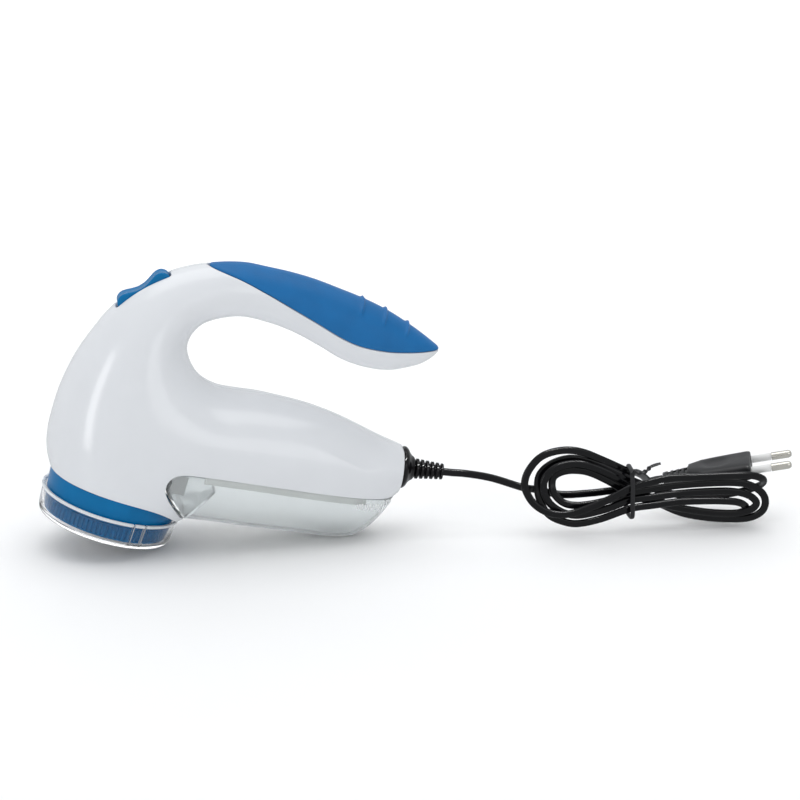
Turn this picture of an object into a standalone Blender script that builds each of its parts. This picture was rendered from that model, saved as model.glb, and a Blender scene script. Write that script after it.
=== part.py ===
"""Corded fabric shaver, modelled at full size in metres, +Z up.

The shaver stands as it rests on a table (z = 0): on the rear rim of its protective cap and on
the small flat foot under its lint box.  The cutting head faces -X, the tail and the cord +X.
The body is one smooth surface y = +-H(x, z) over the side outline; the shell halves, the lint
box and the grip are cut from it.
"""
import math

import bmesh
import bpy
import numpy as np
from mathutils import Matrix, Vector
from mathutils.geometry import delaunay_2d_cdt

MM = 0.001

# ---- driving dimensions (mm) -------------------------------------------------------------
HEAD_ORIGIN = np.array([-69.1, 0.0, 9.6])   # centre of the cap's outer floor
HEAD_TILT = 17.5                             # degrees the head axis leans back from vertical
HEAD_R = 33.4                                # half width of the body at its lower edge
RAIL_TILT = 12.9                             # degrees the lint box rail falls to the tail
GAP = 0.3                                    # clearance between neighbouring pieces
SHELL_WALL = 2.0
BOX_WALL = 1.8
GRIP_SKIN = 1.9
GRIP_RECESS = 3.1                            # depth of the shells' recess under the grip
MOTOR_R = 13.9
FOIL_R = 28.6
CAP_R = 34.6

TILT = math.radians(HEAD_TILT)
UP = np.array([math.sin(TILT), 0.0, math.cos(TILT)])       # along the head axis
ACROSS = np.array([math.cos(TILT), 0.0, -math.sin(TILT)])  # across the head face, to the tail
HEAD_FRAME = Matrix((
    (ACROSS[0], 0.0, UP[0], HEAD_ORIGIN[0] * MM),
    (0.0, 1.0, 0.0, 0.0),
    (ACROSS[2], 0.0, UP[2], HEAD_ORIGIN[2] * MM),
    (0.0, 0.0, 0.0, 1.0),
))

# ---- side outline of the body (x, z in mm) -----------------------------------------------
HEAD_FRONT = [(-94.3, 41.3), (-95.7, 49.5), (-95.4, 57.5), (-93.6, 66), (-88.5, 81.5),
              (-80, 98), (-68.7, 113.3), (-61.5, 121), (-51.5, 128.7), (-40, 134.8),
              (-26.5, 139.3), (-11.5, 141.2)]
HANDLE_TOP = [(3, 140.8), (14.7, 138.1), (26.5, 135), (38.3, 131), (50, 126), (62, 120.6),
              (74, 114), (85.6, 105.9), (95.5, 97.8)]
HANDLE_TIP = [(98.6, 94.4), (96.5, 91.4)]
HANDLE_UNDER = [(91.5, 88.1), (85.6, 86.1), (74, 84.4), (62, 86.2), (50, 90.8), (38.3, 98.3),
                (26.5, 105.3), (14.7, 110.4), (0, 114.2)]
FINGER_GAP = [(-14.8, 112.3), (-22, 107.6), (-25.6, 100.6), (-24.6, 92.5), (-20, 84.5),
              (-12, 79.2)]
BODY_TOP = [(-3, 77), (8.8, 74.9), (20.6, 71.8), (32.4, 68.2), (44.2, 63.4), (56, 57.4),
            (68, 50.6), (81.1, 43.9)]
TAIL = [(91.5, 37.5), (94.5, 31.5), (90, 25.5), (80.5, 22.6)]
BOX_UNDER = [(75.5, 19), (73, 14.6), (68.3, 8.8), (62, 3.3), (54, -0.4), (44, -0.6), (32.4, 1.3),
             (20.6, 3.3), (8.8, 5.3), (-3, 7.4), (-14.8, 9.8), (-29.5, 12.4)]
OUTLINE = HEAD_FRONT + HANDLE_TOP + HANDLE_TIP + HANDLE_UNDER + FINGER_GAP + BODY_TOP + TAIL \
    + BOX_UNDER

# Local half thickness of the body: (x, z, radius) in mm, blended smoothly.
GIRTH = [(-69, 12, 33.4), (-58, 50, 29), (-48, 88, 25), (-40, 122, 17), (-8, 128, 13),
         (30, 118, 12.3), (62, 103, 12), (92, 95, 11), (-18, 60, 27), (-10, 30, 25),
         (20, 45, 22.5), (20, 15, 22.5), (55, 38, 20), (50, 10, 20), (82, 33, 18)]
GIRTH_REACH = 17.0

# Parting line between the white shell and the lint box, nose first.
BOX_LINE = [(-24, 1), (-29, 12), (-34.3, 23.5), (-38.0, 31.5), (-39.0, 37), (-36.4, 41.6),
            (-30.5, 43.3), (-18, 41.0), (6.5, 35.4), (39.5, 27.8), (60.5, 23.2), (74.0, 20.6),
            (90, 19.0)]
# Lower edge of the blue grip on the handle's flank.
GRIP_LINE = [(-21.5, 143.2), (-12.3, 140.2), (1.1, 134.7), (13.1, 127.9), (25.4, 120.0),
             (37.7, 112.0), (48.8, 104.6), (58.6, 99.8), (71.0, 96.6), (82.3, 95.2), (92.5, 94.6),
             (106, 94.4)]


def head_point(across, height):
    """Side-view point at a distance across the head axis and a height above the cap floor."""
    p = HEAD_ORIGIN + across * ACROSS + height * UP
    return float(p[0]), float(p[2])


def spline(points, steps, closed=False):
    """Catmull-Rom curve through the points; steps samples per span."""
    pts = [np.array(p, float) for p in points]
    n = len(pts)
    spans = n if closed else n - 1
    out = []
    for i in range(spans):
        if closed:
            a, b, c, d = (pts[(i + k) % n] for k in (-1, 0, 1, 2))
        else:
            b, c = pts[i], pts[i + 1]
            a = pts[i - 1] if i else 2 * b - c
            d = pts[i + 2] if i + 2 < n else 2 * c - b
        for k in range(steps):
            t = k / steps
            out.append(0.5 * (2 * b + (c - a) * t + (2 * a - 5 * b + 4 * c - d) * t * t
                              + (3 * b - a - 3 * c + d) * t ** 3))
    if not closed:
        out.append(pts[-1])
    return np.array(out)


# The girth formula sees the head carried on straight below its edge, so the section there
# is the circle that the collar and the cap share.
GIRTH_LOOP = np.vstack([spline(OUTLINE, 4), [head_point(HEAD_R, h) for h in (11.5, -25, -75)],
                        [head_point(-HEAD_R, h) for h in (-75, -25, 21.5)]])


def depth_inside(points):
    """Smooth inside distance: equal to the distance from the outline close to it."""
    p = np.asarray(points, float)
    a = GIRTH_LOOP
    b = np.roll(a, -1, axis=0)
    along = b - a
    length = np.hypot(along[:, 0], along[:, 1])
    along = along / length[:, None]
    rel_a = p[:, None, :] - a[None]
    t1 = (rel_a * along[None]).sum(2)
    t2 = t1 - length[None]
    h = rel_a[..., 0] * along[None, :, 1] - rel_a[..., 1] * along[None, :, 0]
    h = np.where(np.abs(h) < 1e-4, 1e-4, h)
    r1, r2 = np.hypot(t1, h), np.hypot(t2, h)
    total = ((t1 / r1 - t2 / r2) / h).sum(1)
    return np.where(total > 1e-6, 2.0 / np.maximum(total, 1e-6), 0.0)


def girth(points):
    p = np.asarray(points, float)
    g = np.array(GIRTH)
    d2 = ((p[:, None, :] - g[None, :, :2]) ** 2).sum(2)
    w = np.exp(-(d2 - d2.min(1)[:, None]) / (2 * GIRTH_REACH ** 2))
    return (w * g[None, :, 2]).sum(1) / w.sum(1)


def half_width(points, inset=0.0):
    """Half width of the body at side-view points, for a skin lying inset below the surface."""
    depth = np.maximum(depth_inside(points) - inset, 0.0)
    return np.maximum(np.sqrt(2 * girth(points) * depth), 0.4)


# ---- mesh helpers ------------------------------------------------------------------------
def collection():
    return bpy.context.scene.collection


def material(name, colour, roughness, metallic=0.0, alpha=1.0, transmission=0.0):
    mat = bpy.data.materials.new(name)
    mat.use_nodes = True
    shader = mat.node_tree.nodes["Principled BSDF"]
    shader.inputs["Base Color"].default_value = (*colour, 1.0)
    shader.inputs["Roughness"].default_value = roughness
    shader.inputs["Metallic"].default_value = metallic
    shader.inputs["Alpha"].default_value = alpha
    shader.inputs["Transmission Weight"].default_value = transmission
    mat.diffuse_color = (*colour, alpha)
    return mat


def add_object(name, verts, faces, look=None, frame=None, smooth=True):
    """Mesh object from vertices in mm, placed by its frame."""
    mesh = bpy.data.meshes.new(name)
    mesh.from_pydata([tuple(float(c) * MM for c in v) for v in verts], [], faces)
    mesh.validate()
    bm = bmesh.new()
    bm.from_mesh(mesh)
    bmesh.ops.recalc_face_normals(bm, faces=bm.faces)
    bm.to_mesh(mesh)
    bm.free()
    obj = bpy.data.objects.new(name, mesh)
    collection().objects.link(obj)
    if frame is not None:
        obj.matrix_world = frame
    if look is not None:
        mesh.materials.append(material(name, *look))
    if smooth:
        mesh.shade_smooth()
        mesh.set_sharp_from_angle(angle=math.radians(35))
    return obj


def as_cutter(obj):
    obj.hide_render = True
    obj.display_type = "WIRE"
    return obj


def boolean(obj, cutter, operation="DIFFERENCE"):
    mod = obj.modifiers.new(cutter.name, "BOOLEAN")
    mod.object = cutter
    mod.operation = operation
    mod.solver = "EXACT"
    return obj


def bevel(obj, width, segments=2, angle=35):
    mod = obj.modifiers.new("Bevel", "BEVEL")
    mod.width = width * MM
    mod.segments = segments
    mod.limit_method = "ANGLE"
    mod.angle_limit = math.radians(angle)
    return obj


def inward_normals(poly):
    nxt, prv = np.roll(poly, -1, axis=0), np.roll(poly, 1, axis=0)
    tangent = nxt - prv
    tangent /= np.hypot(tangent[:, 0], tangent[:, 1])[:, None]
    area = 0.5 * np.sum(poly[:, 0] * nxt[:, 1] - nxt[:, 0] * poly[:, 1])
    return np.stack([-tangent[:, 1], tangent[:, 0]], 1) * (1 if area > 0 else -1)


def clearance(poly, pts):
    """Distance from each point to the polygon's edge."""
    ab = np.roll(poly, -1, axis=0) - poly
    ap = pts[:, None] - poly[None]
    t = np.clip((ap * ab[None]).sum(2) / (ab ** 2).sum(1)[None], 0, 1)
    d = ap - t[..., None] * ab[None]
    return np.sqrt((d ** 2).sum(2)).min(1)


def inside(poly, pts):
    nxt = np.roll(poly, -1, axis=0)
    x, y = pts[:, None, 0], pts[:, None, 1]
    cross = (poly[None, :, 1] > y) != (nxt[None, :, 1] > y)
    rise = np.where(nxt[:, 1] == poly[:, 1], 1e-9, nxt[:, 1] - poly[:, 1])
    hit = x < ((nxt[:, 0] - poly[:, 0]) / rise)[None] * (y - poly[None, :, 1]) + poly[None, :, 0]
    return (cross & hit).sum(1) % 2 == 1


def inset_loop(poly, dist):
    """Polygon moved inward by a distance, without the corners that would cross."""
    pts = poly + inward_normals(poly) * dist
    return pts[inside(poly, pts) & (clearance(poly, pts) > 0.96 * dist)]


def triangulated(polygon, rings=(1.6, 6.5), grid=12.0):
    """Triangles over a side-view polygon, finer towards its edge."""
    poly = np.asarray(polygon, float)
    inward = inward_normals(poly)
    inner = []
    for dist in rings:
        pts = poly + inward * dist
        inner.append(pts[inside(poly, pts) & (clearance(poly, pts) > 0.9 * dist)])
    lo, hi = poly.min(0), poly.max(0)
    rows = np.array([(lo[0] + grid * (i + 0.5 * (j % 2)), lo[1] + grid * 0.87 * j)
                     for j in range(int((hi[1] - lo[1]) / grid / 0.87) + 2)
                     for i in range(int((hi[0] - lo[0]) / grid) + 2)])
    deep = clearance(poly, rows) > rings[-1] + 0.55 * grid
    inner.append(rows[inside(poly, rows) & deep])
    pts = np.vstack([poly] + inner)
    count = len(poly)
    edges = [(i, (i + 1) % count) for i in range(count)]
    verts, _, faces, _, _, _ = delaunay_2d_cdt([Vector(p) for p in pts], edges, [], 1, 1e-6)
    return np.array([tuple(v) for v in verts]), [list(f) for f in faces]


def slab(name, polygon, front, back, look=None, flat_back=False, **detail):
    """Closed solid over a side-view polygon between two depth functions y(points)."""
    pts, faces = triangulated(polygon, **detail)
    rim = {}
    for f in faces:
        for a, b in zip(f, f[1:] + f[:1]):
            rim[(a, b)] = True
    rim = [(a, b) for a, b in rim if (b, a) not in rim]
    n = len(pts)
    near = np.column_stack([pts[:, 0], front(pts), pts[:, 1]])
    far = np.column_stack([pts[:, 0], back(pts), pts[:, 1]])
    solid = [list(f) for f in faces] + [[b, a, n + a, n + b] for a, b in rim]
    if flat_back:
        step = dict(rim)
        loop = [rim[0][0]]
        while step[loop[-1]] != loop[0]:
            loop.append(step[loop[-1]])
        solid.append([n + i for i in reversed(loop)])
        used = sorted({i for f in solid for i in f})
        index = {v: i for i, v in enumerate(used)}
        verts = np.vstack([near, far])[used]
        return add_object(name, verts, [[index[i] for i in f] for f in solid], look)
    solid += [[n + i for i in reversed(f)] for f in faces]
    return add_object(name, np.vstack([near, far]), solid, look)


def prism(name, polygon, y_low, y_high, look=None, frame=None):
    """Polygon in the x-z plane carried from y_low to y_high."""
    n = len(polygon)
    verts = [(x, y, z) for y in (y_low, y_high) for x, z in polygon]
    faces = [list(range(n)), [2 * n - 1 - i for i in range(n)]]
    faces += [[i, (i + 1) % n, n + (i + 1) % n, n + i] for i in range(n)]
    return add_object(name, verts, faces, look, frame, smooth=False)


def lathe(name, profile, segments, look=None, frame=HEAD_FRAME, radius=None):
    """Closed profile of (r, height) pairs turned about the frame's own axis."""
    verts, faces, rings = [], [], []
    for r, h in profile:
        if r < 1e-6:
            rings.append([len(verts)])
            verts.append((0.0, 0.0, h))
        else:
            rings.append(list(range(len(verts), len(verts) + segments)))
            for k in range(segments):
                a = 2 * math.pi * k / segments
                rr = radius(r, a) if radius else r
                verts.append((rr * math.cos(a), rr * math.sin(a), h))
    m = len(rings)
    for i in range(m):
        p, q = rings[i], rings[(i + 1) % m]
        if len(p) == 1 and len(q) == 1:
            continue
        for k in range(segments):
            k2 = (k + 1) % segments
            if len(p) == 1:
                faces.append([p[0], q[k], q[k2]])
            elif len(q) == 1:
                faces.append([p[k], q[0], p[k2]])
            else:
                faces.append([p[k], q[k], q[k2], p[k2]])
    return add_object(name, verts, faces, look, frame)


def block(name, size, frame, look=None):
    """Box of the given size, centred on its frame."""
    sx, sy, sz = (s / 2 for s in size)
    verts = [(x, y, z) for x in (-sx, sx) for y in (-sy, sy) for z in (-sz, sz)]
    faces = [[0, 1, 3, 2], [4, 6, 7, 5], [0, 4, 5, 1], [2, 3, 7, 6], [0, 2, 6, 4], [1, 5, 7, 3]]
    return add_object(name, verts, faces, look, frame, smooth=False)


def frame_at(point, angle=0.0, spin=0.0):
    """Frame at a point in mm, pitched about Y by angle and then turned about its own Z."""
    return (Matrix.Translation(Vector(point) * MM)
            @ Matrix.Rotation(math.radians(angle), 4, "Y")
            @ Matrix.Rotation(math.radians(spin), 4, "Z"))


def tube(name, path, half_y, half_n, sides, look, up=(0.0, 1.0, 0.0)):
    """Oval tube along a path; half_y is its half size along up, half_n across it."""
    pts = [np.array(p, float) for p in path]
    verts, faces = [], []
    ref = np.array(up, float)
    for i, p in enumerate(pts):
        a, b = pts[max(i - 1, 0)], pts[min(i + 1, len(pts) - 1)]
        t = (b - a) / np.linalg.norm(b - a)
        u = ref - t * ref.dot(t)
        u /= np.linalg.norm(u)
        v = np.cross(t, u)
        for k in range(sides):
            ang = 2 * math.pi * (k + 0.5) / sides
            verts.append(p + u * half_y * math.cos(ang) + v * half_n * math.sin(ang))
    for i in range(len(pts) - 1):
        for k in range(sides):
            k2 = (k + 1) % sides
            faces.append([i * sides + k, i * sides + k2, (i + 1) * sides + k2,
                          (i + 1) * sides + k])
    faces.append(list(range(sides)))
    faces.append([len(verts) - 1 - k for k in range(sides)])
    return add_object(name, verts, faces, look)


def parent_empty(name, frame):
    """Plain axes on a joint's axis, carrying the piece that moves about it."""
    empty = bpy.data.objects.new(name, None)
    empty.empty_display_size = 0.01
    collection().objects.link(empty)
    empty.matrix_world = frame
    return empty


def hang(obj, parent):
    world = obj.matrix_world.copy()
    obj.parent = parent
    obj.matrix_parent_inverse = parent.matrix_world.inverted()
    obj.matrix_world = world
    return obj


# ---- looks: colour, roughness, metallic, alpha, transmission ------------------------------
WHITE = ((0.86, 0.87, 0.88), 0.22)
BLUE_GLOSS = ((0.03, 0.13, 0.42), 0.3)
BLUE_SOFT = ((0.03, 0.14, 0.42), 0.55)
CLEAR = ((0.86, 0.93, 0.92), 0.06, 0.0, 0.35, 0.9)
CREAM = ((0.78, 0.77, 0.70), 0.45)
BLACK_RUBBER = ((0.012, 0.012, 0.014), 0.5)
BLACK_PLASTIC = ((0.02, 0.02, 0.022), 0.4)
STEEL = ((0.62, 0.63, 0.65), 0.25, 1.0)
NICKEL = ((0.70, 0.69, 0.64), 0.22, 1.0)
COPPER = ((0.60, 0.28, 0.12), 0.35, 1.0)
MAGNET = ((0.09, 0.085, 0.08), 0.7)
BOARD_GREEN = ((0.02, 0.16, 0.07), 0.5)
WHITE_SLEEVE = ((0.80, 0.80, 0.79), 0.45)

# ---- the body's side-view regions ---------------------------------------------------------
ACROSS_STEPS = (1.0, 0.97, 0.87, 0.7, 0.45, 0.15, -0.15, -0.45, -0.7, -0.87, -0.97, -1.0)
BODY_LOOP = np.vstack([spline(OUTLINE, 1), [head_point(HEAD_R, 11.0)],
                       [head_point(HEAD_R * k, 4) for k in ACROSS_STEPS],
                       [head_point(-HEAD_R, 14)]])
HANDLE_X = -30.0            # the hollow of the head ends here, at the root of the handle
BOX_EDGE = spline(BOX_LINE, 2)
GRIP_EDGE = spline(GRIP_LINE, 2)
ROCKER_PIVOT = (-45.1, 0.0, 126.6)
ROCKER_PITCH = -29.9
TAIL_FRAME = frame_at((79.4, 0, 33.4), 99.0)
SCREWS = [(-4, 127), (28, 110), (-76, 82), (-22, 62), (56, 46.5)]


def shifted(line, dist):
    """Open line moved to its left by a distance."""
    t = np.gradient(line, axis=0)
    t /= np.hypot(t[:, 0], t[:, 1])[:, None]
    return line + np.stack([-t[:, 1], t[:, 0]], 1) * dist


def hollow_loop():
    """Inner outline of the head and lower body, closed across the root of the handle."""
    loop = inset_loop(BODY_LOOP, SHELL_WALL)
    in_handle = (loop[:, 0] > -31) & (loop[:, 1] > 78 + 0.0 * loop[:, 0])
    keep = (~in_handle | (loop[:, 0] < -22) & (loop[:, 1] < 112)) & (loop[:, 0] < 75)
    loop = loop[keep]
    low = np.array([head_point((HEAD_R - SHELL_WALL) * k, 1) for k in ACROSS_STEPS])
    above = loop[loop[:, 1] > -50]
    cut = (above - HEAD_ORIGIN[[0, 2]]) @ UP[[0, 2]] < 6
    near = (above - HEAD_ORIGIN[[0, 2]]) @ ACROSS[[0, 2]] < 34.5
    above = above[~(cut & near)]
    return np.vstack([above, low])


def skin_slab(name, loop, inset, **detail):
    """Two-sided solid of the body shrunk by an inset."""
    return slab(name, loop, lambda p: -half_width(p, inset), lambda p: half_width(p, inset),
                **detail)


def edge_height(angle):
    """Height of the white shell's lower edge round the head; angle 0 faces the tail."""
    return 23.2 - 9.2 * ((1 + math.cos(angle)) / 2) ** 8


def head_edge_cutter(segments=40):
    """Everything below the shell's lower edge, inside the head's cylinder."""
    verts, faces = [(0, 0, 21.0), (0, 0, -12.0)], []
    for k in range(segments):
        a = 2 * math.pi * k / segments
        r = HEAD_R + 2.2
        verts.append((r * math.cos(a), r * math.sin(a), edge_height(a)))
        verts.append((r * math.cos(a), r * math.sin(a), -12.0))
    for k in range(segments):
        a, b = 2 + 2 * k, 2 + 2 * ((k + 1) % segments)
        faces += [[0, a, b], [1, b + 1, a + 1], [a, a + 1, b + 1], [a, b + 1, b]]
    return as_cutter(add_object("cut_head_edge", verts, faces, frame=HEAD_FRAME))


def make_cutters():
    """Shared cutting solids of the body."""
    c = {}
    c["hollow"] = as_cutter(skin_slab("cut_hollow", hollow_loop(), SHELL_WALL))
    line = shifted(BOX_EDGE, GAP / 2)
    c["box_space"] = as_cutter(prism("cut_box_space", [*map(tuple, line), (110, -30), (-24, -30)],
                                     -60, 60))
    line = shifted(BOX_EDGE, -GAP / 2)
    c["box_region"] = as_cutter(prism("cut_box_region",
                                      [*map(tuple, line), (110, -30), (-24, -30)], -60, 60))
    c["grip_region"] = as_cutter(prism("cut_grip_region",
                                       [*map(tuple, GRIP_EDGE), (120, 170), (-21, 170)], -40, 40))
    low = shifted(GRIP_EDGE, -0.45)
    c["grip_space"] = as_cutter(prism("cut_grip_space",
                                      [*map(tuple, low), (121, 171), (-22, 171)], -41, 41))
    handle = BODY_LOOP[(BODY_LOOP[:, 0] > -34) & (BODY_LOOP[:, 1] > 84)]
    c["grip_core"] = as_cutter(skin_slab("cut_grip_core", inset_loop(handle, GRIP_SKIN),
                                         GRIP_SKIN, rings=(1.5, 4.5), grid=9.0))
    c["recess_core"] = as_cutter(skin_slab("cut_recess_core", inset_loop(handle, GRIP_RECESS),
                                           GRIP_RECESS, rings=(1.5, 4.5), grid=9.0))
    boolean(c["grip_space"], c["recess_core"])
    c["wire_channel"] = as_cutter(tube("cut_wire_channel",
                                       spline([(-36, 0, 118), (-14, 0, 128), (14, 0, 125.5),
                                               (45, 0, 113), (72, 0, 100)], 3),
                                       3.5, 3.5, 10, None))
    c["head_edge"] = head_edge_cutter()
    c["tail"] = as_cutter(block("cut_tail", (80, 80, 30), TAIL_FRAME
                                @ Matrix.Translation((0, 0, 15 * MM))))
    c["tail_bore"] = as_cutter(lathe("cut_tail_bore", [(0, -12), (5.2, -12), (5.2, 4), (0, 4)],
                                     20, frame=TAIL_FRAME))
    c["switch"] = as_cutter(block("cut_switch", (31.4, 10.4, 34),
                                  frame_at(ROCKER_PIVOT, ROCKER_PITCH)))
    c["switch_room"] = as_cutter(block("cut_switch_room", (31.4, 15.2, 16.5),
                                       frame_at(ROCKER_PIVOT, ROCKER_PITCH)
                                       @ Matrix.Translation((0, 0, -8.75 * MM))))
    c["foot"] = as_cutter(block("cut_foot", (400, 200, 40), frame_at((0, 0, -20))))
    c["nose"] = as_cutter(lathe("cut_nose", [(0, 6), (27.5, 6), (27.5, 60), (0, 60)], 40,
                                frame=HEAD_FRAME))
    return c


def screw_axis(x, z, y=0.0):
    """Frame of a housing screw: its Z points from the left shell to the right one."""
    return Matrix.Translation(Vector((x, y, z)) * MM) @ Matrix.Rotation(-math.pi / 2, 4, "X")


def make_shell(name, side, c):
    """One half of the white housing; side -1 is the left half, +1 the right, with the screws."""
    start = side * GAP / 2
    shell = slab(name, BODY_LOOP, lambda p: side * half_width(p) + start,
                 lambda p: 0 * p[:, 0] + start, WHITE, flat_back=True)
    boolean(shell, c["hollow"])
    for i, (x, z) in enumerate(SCREWS):
        reach = float(half_width(np.array([[x, z]]))[0])
        if z < 90:
            lo, hi = sorted((side * (reach - 2.2), start))
            boss = lathe(f"{name}_boss_{i + 1}", [(0, lo), (3.4, lo), (3.4, hi), (0, hi)], 14,
                         frame=screw_axis(x, z))
            boolean(shell, as_cutter(boss), "UNION")
        if side > 0:
            prof = [(0, -2), (1.7, -2), (1.7, reach - 6), (2.9, reach - 6), (2.9, reach + 4),
                    (0, reach + 4)]
        else:
            prof = [(0, -9), (1.4, -9), (1.4, 2), (0, 2)]
        boolean(shell, as_cutter(lathe(f"{name}_hole_{i + 1}", prof, 12, frame=screw_axis(x, z))))
    for key in ("box_space", "grip_space", "wire_channel", "head_edge", "tail", "tail_bore",
                "switch", "switch_room"):
        boolean(shell, c[key])
    return shell


def make_screws():
    for i, (x, z) in enumerate(SCREWS):
        top = float(half_width(np.array([[x, z]]))[0]) - 6 + GAP
        prof = [(0, -8.5), (1.1, -8.5), (1.1, top), (2.5, top), (2.5, top + 1.6), (1.8, top + 2.1),
                (0, top + 2.1)]
        lathe(f"shell_screw_{i + 1}", prof, 12, STEEL, screw_axis(x, z))


def make_body(c):
    make_shell("left_shell", -1, c)
    make_shell("right_shell", 1, c)
    make_screws()
    handle = BODY_LOOP[(BODY_LOOP[:, 0] > -34) & (BODY_LOOP[:, 1] > 84)]
    grip = skin_slab("handle_grip", handle, 0.0, rings=(1.4, 4.6), grid=9.0)
    grip.data.materials.append(material("handle_grip", *BLUE_SOFT))
    boolean(grip, c["grip_region"], "INTERSECT")
    boolean(grip, c["grip_core"])
    line = shifted(BOX_EDGE, GAP / 2 + 0.3)
    line = line[(line[:, 0] > -27) & (line[:, 1] > 20) & (line[:, 0] < 56)]
    top = line + np.array([0.3, 1.5])
    floor_loop = np.vstack([line, top[::-1]])
    floor = slab("body_floor", floor_loop, lambda p: -half_width(p, 4.0),
                 lambda p: half_width(p, 4.0), CREAM, rings=(0.7,), grid=30.0)
    for x, z in SCREWS:
        if z < 64:
            boolean(floor, as_cutter(lathe(f"cut_floor_{x + 100}", [(0, -30), (4.0, -30), (4.0, 30),
                                                                    (0, 30)], 12,
                                           frame=screw_axis(x, z))))


def make_collar():
    """Smooth ring between the shell's edge and the foil ring."""
    segments = 40
    verts, faces = [], []
    for k in range(segments):
        a = 2 * math.pi * k / segments
        edge = edge_height(a) - GAP
        prof = [(27.4, 6.2), (28.5, 6.2), (28.5, 11.0), (32.3, 11.0), (32.5, 12.6),
                (33.1, edge), (31.0, edge), (31.0, 12.8), (27.4, 12.8)]
        verts += [(r * math.cos(a), r * math.sin(a), h) for r, h in prof]
    m = 9
    for k in range(segments):
        k2 = (k + 1) % segments
        for i in range(m):
            j = (i + 1) % m
            faces.append([k * m + i, k * m + j, k2 * m + j, k2 * m + i])
    return add_object("neck_collar", verts, faces, BLUE_GLOSS, HEAD_FRAME)


def make_cap():
    """Clear protective cap over the foil; three snap tabs are freed by pairs of slots."""
    axis = parent_empty("cap_axis", HEAD_FRAME)
    prof = [(0, 0), (31.4, 0), (32.9, 0.5), (33.6, 1.9), (34.3, 12.4), (35.0, 12.9), (35.0, 13.8),
            (33.5, 13.8), (32.6, 3.2), (31.4, 2.0), (0, 2.0)]
    cap = lathe("protective_cap", prof, 40, CLEAR)
    for k, centre in enumerate((-80, 40, 160)):
        for side in (-8.5, 8.5):
            frame = HEAD_FRAME @ Matrix.Rotation(math.radians(centre + side), 4, "Z") \
                @ Matrix.Translation((34 * MM, 0, 10.5 * MM))
            slot = block(f"cut_cap_slot_{k}_{'ab'[side > 0]}", (6, 0.9, 9), frame)
            boolean(cap, as_cutter(slot))
    return hang(cap, axis)


def make_foil_unit():
    axis = parent_empty("foil_axis", HEAD_FRAME)
    prof = [(26.4, 2.9), (31.0, 2.9), (31.5, 3.4), (31.5, 10.2), (31.1, 10.7), (28.8, 10.7),
            (28.8, 4.1), (26.4, 4.1)]
    hang(lathe("foil_ring", prof, 36, BLUE_GLOSS), axis)
    foil = [(0, 4.4), (28.4, 4.4), (28.4, 4.75), (0, 4.75)]
    hang(lathe("shaving_foil", foil, 32, STEEL), axis)


def make_rotor():
    """Everything that spins: shaft, armature, commutator, fan, cutter hub and blades."""
    axis = parent_empty("rotor_axis", HEAD_FRAME)
    hang(lathe("motor_shaft", [(0, 5.4), (1.0, 5.4), (1.25, 5.8), (1.25, 75.6), (1.0, 76), (0, 76)],
               12, STEEL), axis)
    hub = [(1.6, 6.4), (6.5, 6.4), (6.5, 9.2), (24.5, 9.2), (24.5, 10.6), (6.8, 10.6),
           (5.4, 13.6), (1.6, 13.6)]
    hub = hang(lathe("cutter_hub", hub, 24, BLACK_PLASTIC), axis)
    for k in range(3):
        turn = HEAD_FRAME @ Matrix.Rotation(2 * math.pi * k / 3, 4, "Z")
        blade = block(f"cutter_blade_{k + 1}", (17.5, 2.6, 3.6),
                      turn @ Matrix.Translation((16.2 * MM, 0, 7.1 * MM)), STEEL)
        hang(blade, axis)
    fan = lathe("suction_fan", [(1.6, 17.0), (20.5, 17.0), (20.5, 18.4), (5.6, 18.4), (5.0, 26.0),
                                (1.6, 26.0)], 24, WHITE_SLEEVE)
    for k in range(8):
        turn = HEAD_FRAME @ Matrix.Rotation(2 * math.pi * (k + 0.5) / 8, 4, "Z")
        vane = block(f"fan_vane_{k + 1}", (16.2, 1.1, 7.0),
                     turn @ Matrix.Translation((11.9 * MM, 0, 21.3 * MM)))
        boolean(fan, as_cutter(vane), "UNION")
    hang(fan, axis)
    hang(lathe("armature", [(1.6, 40), (9.6, 40), (9.6, 60), (1.6, 60)], 20, COPPER), axis)
    hang(lathe("commutator", [(1.6, 60.4), (3.6, 60.4), (3.6, 66.4), (1.6, 66.4)], 16, COPPER),
         axis)


def arc_piece(name, r0, r1, h0, h1, start, sweep, look, steps=8):
    """Part of a tube wall about the head axis."""
    verts, faces = [], []
    for k in range(steps + 1):
        a = math.radians(start + sweep * k / steps)
        for r, h in ((r0, h0), (r1, h0), (r1, h1), (r0, h1)):
            verts.append((r * math.cos(a), r * math.sin(a), h))
    for k in range(steps):
        for i in range(4):
            j = (i + 1) % 4
            faces.append([4 * k + i, 4 * k + j, 4 * k + 4 + j, 4 * k + 4 + i])
    faces += [[0, 1, 2, 3], [4 * steps + i for i in (3, 2, 1, 0)]]
    return add_object(name, verts, faces, look, HEAD_FRAME)


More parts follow.
